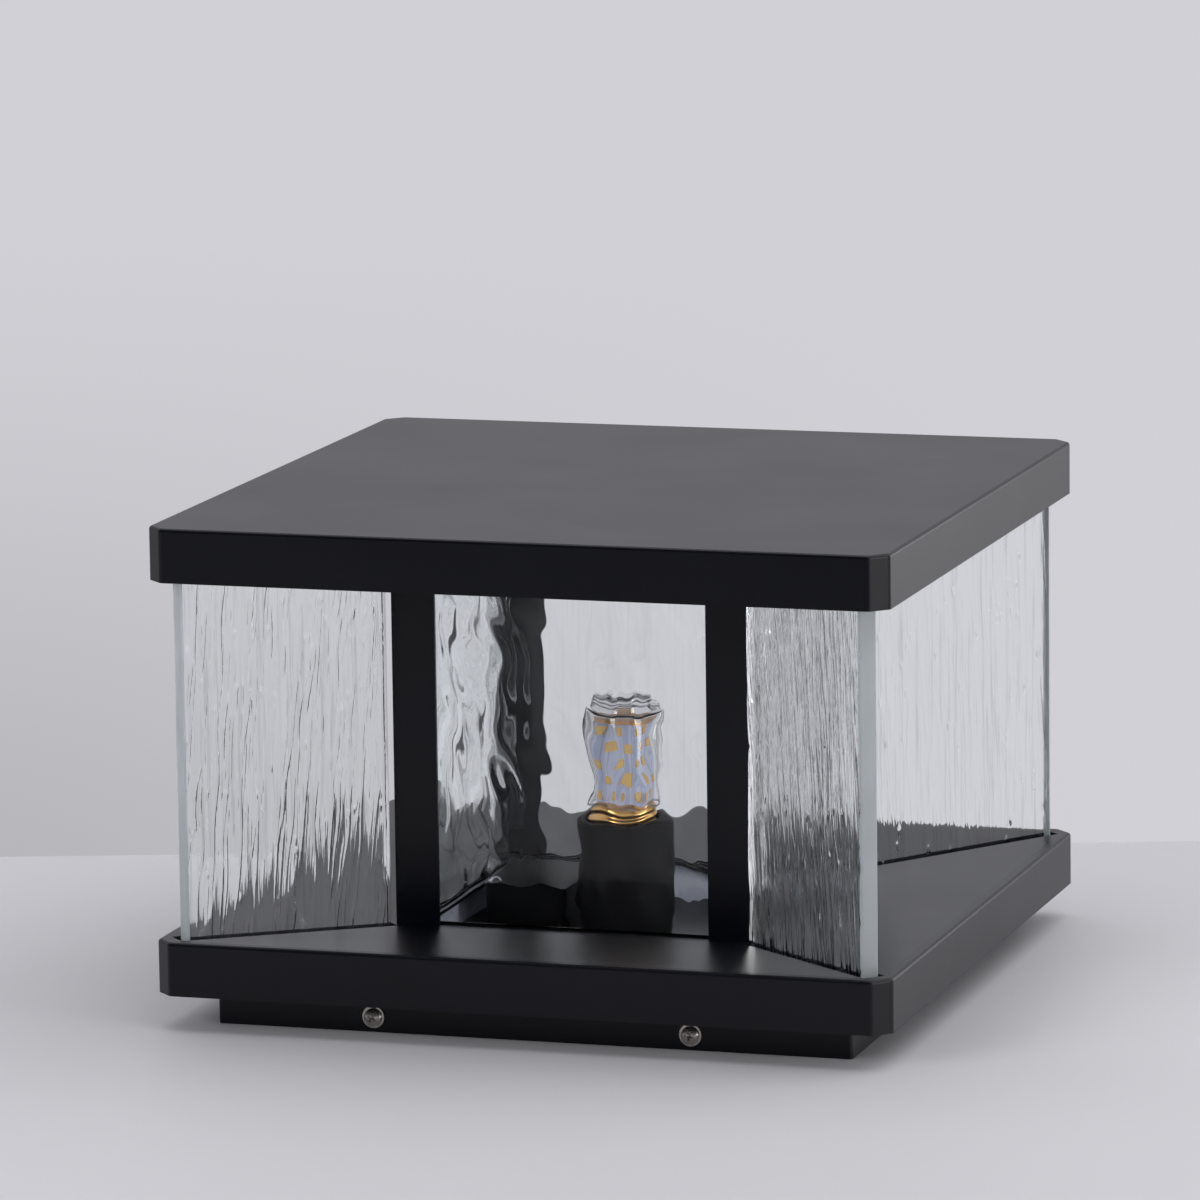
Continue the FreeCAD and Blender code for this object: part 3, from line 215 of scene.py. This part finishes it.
def side_screw(name, side, face):
    """A pan-head screw with a cross recess, seated on its washer and pointing out of the skirt.

    Crown: level = 2.2 sqrt(1 - 0.8 (r / 3.5)^2). Recess: four arms, |x| or |y| under 0.5 within r of 1.9,
    sunk by 1.4 mm at the middle and less outward.
    """
    columns = 72
    theta = np.linspace(0, 2 * np.pi, columns, endpoint=False)[None, :]
    shank = np.array([[0.3, -10.0], [1.6, -10.0], [2.0, -9.4], [2.0, 0.0], [3.35, 0.0], [3.5, 0.25],
                      [3.5, 0.9]])
    steps = np.concatenate([np.linspace(3.45, 2.2, 6), np.linspace(2.1, 0.05, 24)])
    crown = steps[:, None] * np.ones(columns)
    arm = np.minimum(np.abs(crown * np.cos(theta)), np.abs(crown * np.sin(theta)))
    sunk = np.clip((0.5 - arm) / 0.12, 0, 1) * np.clip((1.9 - crown) / 0.15, 0, 1) * (1.4 - 0.45 * crown)
    radius = np.vstack([shank[:, :1] * np.ones(columns), crown])
    level = np.vstack([shank[:, 1:] * np.ones(columns), 2.2 * np.sqrt(1 - 0.8 * (crown / 3.5) ** 2) - sunk])
    place = (mathutils.Matrix.Translation((side * SIDE_SCREW_REACH * MM, face * SIDE_SCREW_SEAT * MM,
                                           SIDE_SCREW_LEVEL * MM))
             @ mathutils.Matrix.Rotation(-face * math.pi / 2, 4, "X")
             @ mathutils.Matrix.Rotation(0.5 + side, 4, "Z"))
    return turned_surface(name, radius, level, place=place)


for side, hand in ((-1, "left"), (1, "right")):
    for face, end in ((-1, "front"), (1, "back")):
        screw = side_screw("side_screw_%s_%s" % (end, hand), side, face)
        screw.data.materials.append(stainless)
        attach(screw, "lantern")
        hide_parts("side_screws")


# Panes and fins
#
# Clear soda-lime glass, rolled with a rain texture on one face: broad soft facets that run down the
# sheet, and on the fins narrow creases too. Panes are 6 mm thick, fins 8 mm; the fins' ends are ground.

def rain_field(across, up, width, length, seed):
    """Sixty cosine waves of random phase and slant, about `width` apart across and `length` up, in mm."""
    rng = np.random.default_rng(seed)
    count = 60
    kx = 2 * np.pi / width * rng.uniform(0.45, 1.35, count)
    kz = 2 * np.pi / length * rng.normal(0, 0.7, count)
    phase = rng.uniform(0, 2 * np.pi, count)
    waves = [np.cos(a * across + b * up + c) for a, b, c in zip(kx, kz, phase)]
    return np.sum(waves, axis=0) / math.sqrt(count / 2)


def rain_depth(across, up, seed, width, length, crease_depth, facet_depth, groove_depth, fine_depth,
               ripple_depth, pip_depth):
    """How deep the rolled face lies under the sheet's full thickness, in mm.

    Everything leans by 5 degrees. Creases: exp(-(f / 0.3)^2) along the lines where a slow field f of
    the given width is zero. Facets: 1 + sin of a second field, of the given length. Grooves and fine
    grooves: sharp creases of two more fields, broken off where another is low. Ripples: 1 + sin of a
    fine field. Pips: sixty small dents.
    """
    rng = np.random.default_rng(seed)
    slant = across + 0.09 * up
    drift = slant + 0.8 * rain_field(across, up, 2 * width, 60, seed + 3)
    crease = np.exp(-(rain_field(drift, up, width, 330, seed) / 0.3) ** 2)
    facet = 1 + np.sin(rain_field(drift, up, 1.2 * width, length, seed + 1))
    depth = crease_depth * crease + facet_depth * facet
    if groove_depth:
        broken = np.clip(1.6 * rain_field(slant, up, 26, 60, seed + 5) - 0.3, 0, 1)
        depth += groove_depth * broken * np.exp(-(rain_field(drift, up, 8, 200, seed + 4) / 0.26) ** 2)
    if fine_depth:
        broken = np.clip(2.5 * rain_field(slant, up, 9, 30, seed + 7), 0, 1)
        depth += fine_depth * broken * np.exp(-(rain_field(slant, up, 4, 120, seed + 6) / 0.22) ** 2)
    if ripple_depth:
        depth += ripple_depth * (1 + np.sin(2 * rain_field(slant, up, 4, 160, seed + 2)))
    if pip_depth:
        spots = zip(rng.uniform(across.min(), across.max(), 60), rng.uniform(up.min(), up.max(), 60))
        for here, level in spots:
            depth += pip_depth * np.exp(-((across - here) ** 2 + ((up - level) / 1.5) ** 2) / 0.7 ** 2)
    return depth


EDGE_STRIP = 0.04


def rain_slab(name, start, end, rolled, plain, low, high, turn, relief, step=0.24, rise=1.2,
              bevel=0.7):
    """A slab of rain glass in mm, drawn along X from start to end and turned about Z by degrees.

    Its outline is one loop: the rolled face in steps, at `rolled` less its depth, a ground bevel, the
    cut end, a bevel, the plain face and back. The loop is repeated from low to high, and closed below
    and above by one face each. A narrow strip runs along all four edges of the rolled face, because
    smooth shading turns the normals there towards the cuts. Slots: 0 rolled face, 1 outer end,
    2 plain face and inner end, 3 lower and upper cut.
    """
    count = int((end - start) / step)
    levels = int((high - low) / rise)
    along = np.linspace(start + bevel + EDGE_STRIP, end - bevel - EDGE_STRIP, count - 2)
    along = np.concatenate([[start + bevel], along, [end - bevel]])
    up = np.concatenate([[low], np.linspace(low + EDGE_STRIP, high - EDGE_STRIP, levels - 2), [high]])
    across, tall = np.meshgrid(along, up)
    inward = math.copysign(1, plain - rolled)
    front = rolled + inward * rain_depth(across, tall, *relief)
    ends = np.ones((levels, 1))
    first_end = front[:, -1:] + inward * bevel
    last_end = front[:, :1] + inward * bevel
    x = np.hstack([across, end * ends, end * ends, (end - bevel) * ends, (start + bevel) * ends,
                   start * ends, start * ends])
    y = np.hstack([front, first_end, (plain - inward * bevel) * ends, plain * ends, plain * ends,
                   (plain - inward * bevel) * ends, last_end])
    z = np.hstack([tall[:, :1]] * x.shape[1])
    angle = math.radians(turn)
    points = np.stack([x * math.cos(angle) - y * math.sin(angle),
                       x * math.sin(angle) + y * math.cos(angle), z], axis=-1) * MM
    ring = x.shape[1]
    here = np.arange(ring)
    after = (here + 1) % ring
    base = (np.arange(levels - 1) * ring)[:, None]
    walls = np.stack([base + here, base + after, base + ring + after, base + ring + here],
                     axis=-1).reshape(-1, 4)
    caps = [here.tolist(), (here + (levels - 1) * ring).tolist()]
    mesh = bpy.data.meshes.new(name)
    mesh.from_pydata(points.reshape(-1, 3), [], walls.tolist() + caps)
    column = np.concatenate([np.tile(here, levels - 1), [ring, ring]])
    mesh.polygons.foreach_set("use_smooth", column < count - 1)
    kind = np.select([column < count - 1, column < count + 2, column < ring], [0, 1, 2], 3)
    mesh.polygons.foreach_set("material_index", kind.astype(np.int32))
    work = bmesh.new()
    work.from_mesh(mesh)
    bmesh.ops.recalc_face_normals(work, faces=work.faces)
    work.to_mesh(mesh)
    work.free()
    piece = bpy.data.objects.new(name, mesh)
    bpy.context.scene.collection.objects.link(piece)
    return piece


def show_instead(tree, surface):
    """Show another shader than the one that the material started with."""
    output = [node for node in tree.nodes if node.type == "OUTPUT_MATERIAL"][0]
    tree.links.new(surface, output.inputs["Surface"])


def let_light_through(tree, shader):
    """Shadow rays pass straight through, so that the lamps light what stands behind the glass."""
    ray = add_node(tree, "ShaderNodeLightPath")
    clear = add_node(tree, "ShaderNodeBsdfTransparent", {"Color": (0.85, 0.86, 0.86, 1.0)})
    mixed = add_node(tree, "ShaderNodeMixShader",
                     links={0: ray.outputs["Is Shadow Ray"], 1: shader.outputs["BSDF"],
                            2: clear.outputs["BSDF"]})
    show_instead(tree, mixed.outputs[0])


def clear_glass(name, streak_depth, painted_streak_shade):
    """Clear soda-lime glass; the roll leaves streaks 1.6 mm apart and 50 mm long, of a depth in mm, and
    their darker tint is painted shade for the dark lines that the glass refracts.
    """
    made, tree, shader, place = start_material(name)
    tall = add_node(tree, "ShaderNodeMapping", {"Scale": (1.0, 1.0, 0.03)}, {"Vector": place})
    streak = add_node(tree, "ShaderNodeTexNoise",
                      {"Scale": 1 / (1.6 * MM), "Detail": 3.0, "Roughness": 0.6},
                      {"Vector": tall.outputs["Vector"]})
    # Painted shade: the streaks darken the glass's tint towards the given tone, standing in for the dark
    # lines that refraction shows.
    tone = add_node(tree, "ShaderNodeValToRGB", links={"Fac": streak.outputs["Fac"]})
    tone.color_ramp.elements[0].position = 0.33
    tone.color_ramp.elements[0].color = hex_colour(painted_streak_shade)
    tone.color_ramp.elements[1].position = 0.47
    tone.color_ramp.elements[1].color = hex_colour("#FDFFFF")
    shader.inputs["Roughness"].default_value = 0.0
    shader.inputs["IOR"].default_value = 1.52
    shader.inputs["Specular Tint"].default_value = (0.25, 0.25, 0.25, 1.0)
    shader.inputs["Transmission Weight"].default_value = 1.0
    tree.links.new(tone.outputs["Color"], shader.inputs["Base Color"])
    if streak_depth:
        bump = add_node(tree, "ShaderNodeBump", {"Strength": 1.0, "Distance": streak_depth * MM},
                        {"Height": streak.outputs["Fac"]})
        tree.links.new(bump.outputs["Normal"], shader.inputs["Normal"])
    let_light_through(tree, shader)
    return made


def ground_glass():
    """The cut edge after belt grinding: the same glass, pale and matt, with 0.3 mm grit marks."""
    made, tree, shader, place = start_material("glass_edge_ground")
    grit = add_node(tree, "ShaderNodeTexNoise", {"Scale": 1 / (0.3 * MM), "Detail": 2.0}, {"Vector": place})
    tone = add_node(tree, "ShaderNodeValToRGB", links={"Fac": grit.outputs["Fac"]})
    tone.color_ramp.elements[0].color = hex_colour("#BBC3C9")
    tone.color_ramp.elements[1].color = hex_colour("#D0D6DA")
    bump = add_node(tree, "ShaderNodeBump", {"Strength": 0.4, "Distance": 0.03 * MM},
                    {"Height": grit.outputs["Fac"]})
    shader.inputs["Roughness"].default_value = 0.55
    shader.inputs["IOR"].default_value = 1.52
    shader.inputs["Transmission Weight"].default_value = 0.5
    tree.links.new(tone.outputs["Color"], shader.inputs["Base Color"])
    tree.links.new(bump.outputs["Normal"], shader.inputs["Normal"])
    return made


def sealant():
    """Black silicone on the cut that stands in a seal: matt, with trowel marks 2 mm apart."""
    made, tree, shader, place = start_material("silicone_sealant_black")
    marks = add_node(tree, "ShaderNodeTexNoise", {"Scale": 1 / (2 * MM), "Detail": 2.0}, {"Vector": place})
    tone = add_node(tree, "ShaderNodeValToRGB", links={"Fac": marks.outputs["Fac"]})
    tone.color_ramp.elements[0].color = hex_colour("#08080A")
    tone.color_ramp.elements[1].color = hex_colour("#101013")
    shader.inputs["Roughness"].default_value = 0.9
    shader.inputs["Specular IOR Level"].default_value = 0.0
    tree.links.new(tone.outputs["Color"], shader.inputs["Base Color"])
    return made


# The last argument of each is the tone of its painted streak shade.
PANE_FACE = clear_glass("rain_glass_rolled_soft", 0.006, "#F6F8F8")
FIN_FACE = clear_glass("rain_glass_rolled_deep", 0.3, "#DDE0E4")
PLAIN_FACE = clear_glass("rain_glass_plain", 0.0, "#FAFCFC")
GROUND_FACE = ground_glass()
SEALED_FACE = sealant()
PANE_OUTER, PANE_INNER, PANE_LOW, PANE_HIGH = 72.2, 66.2, 32.1, 180.4
SIDE_PANE_HALF = 65.9
FIN_START, FIN_END, FIN_HALF, FIN_LOW, FIN_HIGH = 108.65, 198.0, 4.0, 19.0, 188.5

# Each relief: seed, width and length of the facets, and the depths of creases, facets, grooves,
# fine grooves, ripples and pips, in mm.
PANE_RELIEFS = {"front": (357, 17, 34, 0.0, 0.13, 0.0, 0.0, 0.0, 0.0),
                "right": (21, 17, 110, 0.06, 0.1, 0.0, 0.0, 0.0, 0.0),
                "back": (31, 30, 60, 0.0, 0.05, 0.0, 0.0, 0.0, 0.0),
                "left": (44, 22, 44, 0.0, 0.3, 0.0, 0.0, 0.0, 0.0)}
FIN_RELIEFS = {"back_right": (111, 12, 110, 0.08, 0.08, 0.2, 0.18, 0.03, 1.0),
               "back_left": (121, 14, 110, 0.3, 0.12, 0.4, 0.2, 0.02, 0.3),
               "front_left": (131, 12, 100, 0.26, 0.16, 0.42, 0.24, 0.02, 0.4),
               "front_right": (141, 12, 110, 0.26, 0.14, 0.42, 0.4, 0.05, 0.4)}

slabs = {}
for quarter, (side, relief) in enumerate(PANE_RELIEFS.items()):
    half = PANE_OUTER if quarter % 2 == 0 else SIDE_PANE_HALF
    slabs["pane_" + side] = rain_slab("rain_pane_" + side, -half, half, -PANE_INNER, -PANE_OUTER,
                                      PANE_LOW, PANE_HIGH, quarter * 90, relief)
for quarter, (corner, relief) in enumerate(FIN_RELIEFS.items()):
    slabs["fin_" + corner] = rain_slab("rain_fin_" + corner, FIN_START, FIN_END, -FIN_HALF, FIN_HALF,
                                       FIN_LOW, FIN_HIGH, 45 + 90 * quarter, relief, step=0.17)
for node, slab in slabs.items():
    rolled_face = FIN_FACE if node.startswith("fin") else PANE_FACE
    for face in (rolled_face, GROUND_FACE, PLAIN_FACE, SEALED_FACE):
        slab.data.materials.append(face)
    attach(slab, "lantern")
    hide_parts(node)


# Seals under and over the panes, and round the fins' lower edges
#
# Black EPDM rubber, extruded and cut to length. It is matt and takes no light, so it reads as the
# thin dark line under each pane.

def moulded_polymer(name, low, high, rough, grain_mm, depth_mm, shine=0.15):
    """A rubber or plastic between two tones, with a grain of one size, and of a depth in mm."""
    made, tree, shader, place = start_material(name)
    grain = add_node(tree, "ShaderNodeTexNoise", {"Scale": 1 / (grain_mm * MM), "Detail": 2.0},
                     {"Vector": place})
    tone = add_node(tree, "ShaderNodeValToRGB", links={"Fac": grain.outputs["Fac"]})
    tone.color_ramp.elements[0].color = hex_colour(low)
    tone.color_ramp.elements[1].color = hex_colour(high)
    bump = add_node(tree, "ShaderNodeBump", {"Strength": 0.5, "Distance": depth_mm * MM},
                    {"Height": grain.outputs["Fac"]})
    shader.inputs["Roughness"].default_value = rough
    shader.inputs["Specular IOR Level"].default_value = shine
    tree.links.new(tone.outputs["Color"], shader.inputs["Base Color"])
    tree.links.new(bump.outputs["Normal"], shader.inputs["Normal"])
    return made


rubber = moulded_polymer("epdm_rubber_extruded", "#0A0A0C", "#141416", 0.9, 0.4, 0.02, shine=0.0)
dress(rubber, "lower_pane_seal", "upper_pane_seal", *["fin_seal_" + corner for corner in CORNERS])


# Lamp holder
#
# A black phenolic body, moulded, with a brass screw shell and a sprung brass contact in its mouth.

phenolic = moulded_polymer("phenolic_moulded", "#060607", "#09090B", 0.6, 1.2, 0.0003)
dress(phenolic, "lamp_holder", "bulb_insulator")
brass = turned_metal("brass_drawn", "#D2A05C", "#E8BB7A", 0.3)
dress(brass, "holder_shell", "holder_contact", "earth_stud", "earth_nut")


# Bulb
#
# A brass E27 cap with its rolled thread, a square column of white circuit boards set with LEDs
# between two bronze plates, and a clear moulded cover with a stepped crown over them.

CAP_LOW, CAP_HIGH, CAP_RADIUS, PITCH = 49.0, 70.0, 13.2, 3.629


def rolled_cap():
    """The cap: radius = 13.2 - 0.45 (1 - cos(2 pi level / pitch - angle)), fading out at both ends."""
    rows, columns = 120, 96
    level = np.linspace(CAP_LOW, CAP_HIGH, rows)[:, None] * np.ones(columns)
    theta = np.linspace(0, 2 * np.pi, columns, endpoint=False)[None, :]
    fade = np.clip((level - CAP_LOW) / 2, 0, 1) * np.clip((CAP_HIGH - 1.5 - level) / 2, 0, 1)
    radius = CAP_RADIUS - 0.45 * fade * (1 - np.cos(2 * np.pi * level / PITCH - theta)) - 0.5 * (1 - fade)
    return turned_surface("bulb_cap_thread", radius, level)


# The cover's outer profile, as levels and radii.
COVER = [(70.0, 14.6), (70.3, 15.0), (72.0, 15.0), (107.2, 15.0), (108.0, 14.7), (108.4, 14.0),
         (108.4, 12.4), (108.9, 12.0), (111.4, 12.0), (111.6, 11.6), (112.8, 11.6), (113.1, 11.2),
         (114.1, 11.1), (114.7, 10.4), (115.1, 8.4), (115.3, 5.0), (115.4, 0.6)]


def clear_cover():
    """The cover: its outer profile carried round the axis, with a wall of 1 mm inside it."""
    levels, radii = np.array(COVER).T
    radius = np.repeat(radii[:, None], 96, axis=1)
    level = np.repeat(levels[:, None], 96, axis=1)
    piece = turned_surface("bulb_cover_moulded", radius, level, closed_low=False)
    wall = piece.modifiers.new("wall", "SOLIDIFY")
    wall.thickness = 1 * MM
    wall.offset = -1
    return piece


def clear_plastic():
    """Clear polycarbonate: glossy, with flow marks that cloud it a little."""
    made, tree, shader, place = start_material("polycarbonate_moulded_clear")
    flow = add_node(tree, "ShaderNodeTexNoise", {"Scale": 1 / (9 * MM), "Detail": 2.0}, {"Vector": place})
    bump = add_node(tree, "ShaderNodeBump", {"Strength": 0.2, "Distance": 0.1 * MM},
                    {"Height": flow.outputs["Fac"]})
    tone = add_node(tree, "ShaderNodeValToRGB", links={"Fac": flow.outputs["Fac"]})
    tone.color_ramp.elements[0].color = hex_colour("#F2F1F4")
    tone.color_ramp.elements[1].color = hex_colour("#FAFAFB")
    shader.inputs["Roughness"].default_value = 0.02
    shader.inputs["IOR"].default_value = 1.58
    shader.inputs["Transmission Weight"].default_value = 1.0
    tree.links.new(tone.outputs["Color"], shader.inputs["Base Color"])
    tree.links.new(bump.outputs["Normal"], shader.inputs["Normal"])
    let_light_through(tree, shader)
    return made


def board_mask():
    """White solder mask: satin, with faint copper tracks 2 mm apart under it; its lavender cast is painted
    in for the bluish shade light inside the glass box.
    """
    made, tree, shader, place = start_material("circuit_board_white_mask")
    # Painted shade: the lavender in these colours stands in for the bluish light in the shade of the lid.
    track = add_node(tree, "ShaderNodeTexBrick",
                     {"Scale": 1 / (8 * MM), "Color1": hex_colour("#D2D6EE"),
                      "Color2": hex_colour("#C6CBE6"), "Mortar": hex_colour("#AFB5D4"),
                      "Mortar Size": 0.03}, {"Vector": place})
    shader.inputs["Roughness"].default_value = 0.55
    tree.links.new(track.outputs["Color"], shader.inputs["Base Color"])
    return made


def phosphor():
    """LED phosphor: yellow silicone, slightly soft at the surface."""
    made, tree, shader, place = start_material("led_phosphor_cast")
    grain = add_node(tree, "ShaderNodeTexNoise", {"Scale": 1 / (0.6 * MM)}, {"Vector": place})
    tone = add_node(tree, "ShaderNodeValToRGB", links={"Fac": grain.outputs["Fac"]})
    tone.color_ramp.elements[0].color = hex_colour("#E4AC40")
    tone.color_ramp.elements[1].color = hex_colour("#EEC46A")
    shader.inputs["Roughness"].default_value = 0.35
    tree.links.new(tone.outputs["Color"], shader.inputs["Base Color"])
    return made


cap = rolled_cap()
cap.data.materials.append(brass)
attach(cap, "bulb")
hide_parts("bulb_cap")
cover = clear_cover()
cover.data.materials.append(clear_plastic())
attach(cover, "bulb")
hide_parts("bulb_cover")
dress(board_mask(), "bulb_core")
dress(phosphor(), "led_chips")
dress(turned_metal("bronze_plate_pressed", "#C48C48", "#DDA65C", 0.35), "core_plates")
dress(turned_metal("tin_solder", "#8E8F94", "#A6A7AB", 0.4), "bulb_tip")


# Terminal box, terminal block and cable gland
#
# Black polyamide mouldings with a fine eroded grain; the terminal block is grey.

nylon = moulded_polymer("polyamide_moulded", "#0B0B0D", "#121214", 0.5, 0.5, 0.02)
dress(nylon, "terminal_box", "terminal_cover", "cable_gland", "gland_nut")
dress(moulded_polymer("polyamide_grey", "#A5A5A2", "#B2B2AE", 0.5, 0.5, 0.02), "terminal_block")


# Table, wall, light and camera
#
# A white table with its back edge a little behind the light, a pale wall, a wide soft light
# overhead, two small windows on the right, a fill from the front left that gloss doesn't show, and
# the camera where the photograph was taken.

ROOM_TURN = math.radians(17.3)
TABLE_FRONT, TABLE_BACK, TABLE_HALF = -1000.0, 244.0, 4000.0
WALL_BACK, WALL_LOW, WALL_HIGH, WALL_HALF = 1100.0, -2000.0, 4000.0, 5000.0


def room_surface(name, near, far, low, high, wide):
    """A flat sheet square to the camera's direction: its left and right edges at -wide and wide mm.

    Near and far are the distances behind the light of its lower and upper edge, low and high their
    levels. Its UV map runs in metres, across and along.
    """
    across = np.array([math.cos(ROOM_TURN), math.sin(ROOM_TURN), 0.0])
    back = np.array([-math.sin(ROOM_TURN), math.cos(ROOM_TURN), 0.0])
    rise = np.array([0.0, 0.0, 1.0])
    spots = [(-wide, near, low), (wide, near, low), (wide, far, high), (-wide, far, high)]
    points = np.array([a * across + b * back + c * rise for a, b, c in spots]) * MM
    mesh = bpy.data.meshes.new(name)
    mesh.from_pydata(points, [], [(0, 1, 2, 3)])
    tall = max(abs(far - near), abs(high - low))
    flat = np.array([(-wide, 0), (wide, 0), (wide, tall), (-wide, tall)]) * MM
    mesh.uv_layers.new(name="sheet").data.foreach_set("uv", flat.ravel())
    piece = bpy.data.objects.new(name, mesh)
    bpy.context.scene.collection.objects.link(piece)
    return piece


def tabletop():
    """Matt white laminate, clouded faintly over 400 mm."""
    made, tree, shader, place = start_material("table_laminate")
    cloud = add_node(tree, "ShaderNodeTexNoise", {"Scale": 1 / (400 * MM), "Detail": 2.0},
                     {"Vector": place})
    tone = add_node(tree, "ShaderNodeValToRGB", links={"Fac": cloud.outputs["Fac"]})
    tone.color_ramp.elements[0].color = hex_colour("#C9C8CD")
    tone.color_ramp.elements[1].color = hex_colour("#CFCED3")
    shader.inputs["Roughness"].default_value = 0.55
    tree.links.new(tone.outputs["Color"], shader.inputs["Base Color"])
    return made


def wall_paper():
    """The wall: lavender grey, with painted shade that darkens it by up to 12 % towards the lower left;
    seen at its own colour.

    It is a one-sided backdrop: from behind it is clear, so that the back of the light can be seen.
    """
    made, tree, shader, _ = start_material("wall_paint")
    sheet = add_node(tree, "ShaderNodeUVMap")
    spot = add_node(tree, "ShaderNodeSeparateXYZ", links={"Vector": sheet.outputs["UV"]})
    # Painted shade: these masks darken the wall's colour towards the lower left, where the table shades it,
    # through the colour ramp below.
    left = add_node(tree, "ShaderNodeMapRange",
                    {"interpolation_type": "SMOOTHSTEP", "From Min": 0.32, "From Max": -0.4},
                    {"Value": spot.outputs["X"]})
    down = add_node(tree, "ShaderNodeMapRange",
                    {"interpolation_type": "SMOOTHSTEP", "From Min": 2.2, "From Max": 1.75},
                    {"Value": spot.outputs["Y"]})
    both = add_node(tree, "ShaderNodeMath", {"operation": "MULTIPLY"},
                    {0: left.outputs["Result"], 1: down.outputs["Result"]})
    tone = add_node(tree, "ShaderNodeValToRGB", links={"Fac": both.outputs[0]})
    tone.color_ramp.elements[0].color = hex_colour("#D1D0D6")
    tone.color_ramp.elements[1].color = hex_colour("#B4B3B8")
    ray = add_node(tree, "ShaderNodeLightPath")
    seen = add_node(tree, "ShaderNodeMath", {"operation": "MAXIMUM"},
                    {0: ray.outputs["Is Camera Ray"], 1: ray.outputs["Is Glossy Ray"]})
    seen = add_node(tree, "ShaderNodeMath", {"operation": "MAXIMUM"},
                    {0: seen.outputs[0], 1: ray.outputs["Is Transmission Ray"]})
    glow = add_node(tree, "ShaderNodeEmission", {"Strength": 1.0}, {"Color": tone.outputs["Color"]})
    shader.inputs["Roughness"].default_value = 0.7
    tree.links.new(tone.outputs["Color"], shader.inputs["Base Color"])
    mixed = add_node(tree, "ShaderNodeMixShader",
                     links={0: seen.outputs[0], 1: shader.outputs["BSDF"], 2: glow.outputs["Emission"]})
    side = add_node(tree, "ShaderNodeNewGeometry")
    clear = add_node(tree, "ShaderNodeBsdfTransparent")
    sided = add_node(tree, "ShaderNodeMixShader",
                     links={0: side.outputs["Backfacing"], 1: mixed.outputs[0], 2: clear.outputs["BSDF"]})
    show_instead(tree, sided.outputs[0])
    return made


table = room_surface("table", TABLE_FRONT, TABLE_BACK, 0.0, 0.0, TABLE_HALF)
table.data.materials.append(tabletop())
wall = room_surface("wall", WALL_BACK, WALL_BACK, WALL_LOW, WALL_HIGH, WALL_HALF)
wall.data.materials.append(wall_paper())

# The room is dim to gloss and to bounced light, and pale where the camera sees it, also through glass.
world = bpy.data.worlds.new("room")
bpy.context.scene.world = world
world.use_nodes = True
dim_room = world.node_tree.nodes["Background"]
dim_room.inputs["Color"].default_value = hex_colour("#D6D8E2")
dim_room.inputs["Strength"].default_value = 0.09
pale_room = add_node(world.node_tree, "ShaderNodeBackground",
                     {"Color": hex_colour("#D1D0D6"), "Strength": 1.0})
room_ray = add_node(world.node_tree, "ShaderNodeLightPath")
room_seen = add_node(world.node_tree, "ShaderNodeMath", {"operation": "MAXIMUM"},
                     {0: room_ray.outputs["Is Camera Ray"], 1: room_ray.outputs["Is Transmission Ray"]})
room_shown = add_node(world.node_tree, "ShaderNodeMixShader",
                      links={0: room_seen.outputs[0], 1: dim_room.outputs[0], 2: pale_room.outputs[0]})
room_end = world.node_tree.nodes["World Output"]
world.node_tree.links.new(room_shown.outputs[0], room_end.inputs["Surface"])


def soft_light(name, place, aim, width, power, mirrored=True):
    """A square soft light, in metres and watts, that faces a point. Gloss may be kept from showing it."""
    lamp = bpy.data.lights.new(name, "AREA")
    lamp.shape = "SQUARE"
    lamp.size = width
    lamp.energy = power
    piece = bpy.data.objects.new(name, lamp)
    piece.location = place
    piece.visible_glossy = mirrored
    way = mathutils.Vector(aim) - mathutils.Vector(place)
    piece.rotation_euler = way.to_track_quat("-Z", "Y").to_euler()
    bpy.context.scene.collection.objects.link(piece)


MIDDLE = (0, 0, 0.08)
soft_light("overhead", (0.5, 0.8, 2.3), (0, 0, 0.1), 4.6, 122.0)
soft_light("window", (2.35, -0.8, 0.5), MIDDLE, 1.0, 18.0)
soft_light("back_window", (0.8, 0.95, 0.2), MIDDLE, 0.35, 1.8)
soft_light("room_fill", (-1.3, -1.95, 0.95), MIDDLE, 1.2, 28.0, mirrored=False)

CAMERA_PLACE = (0.91436, -2.96817, 0.69402)
CAMERA_TURN, CAMERA_TILT, CAMERA_ROLL = 17.30, 9.88, -0.74
FOCAL_PIXELS, FRAME_PIXELS, SENSOR = 7816.26, 1200, 36.0
lens = bpy.data.cameras.new("camera")
lens.sensor_width = SENSOR
lens.lens = SENSOR * FOCAL_PIXELS / FRAME_PIXELS
camera = bpy.data.objects.new("camera", lens)
turn = (mathutils.Matrix.Rotation(math.radians(CAMERA_TURN), 4, "Z")
        @ mathutils.Matrix.Rotation(math.radians(90 - CAMERA_TILT), 4, "X")
        @ mathutils.Matrix.Rotation(math.radians(CAMERA_ROLL), 4, "Z"))
camera.matrix_world = mathutils.Matrix.Translation(CAMERA_PLACE) @ turn
bpy.context.scene.collection.objects.link(camera)
bpy.context.scene.camera = camera

bpy.context.scene.view_settings.view_transform = "Standard"
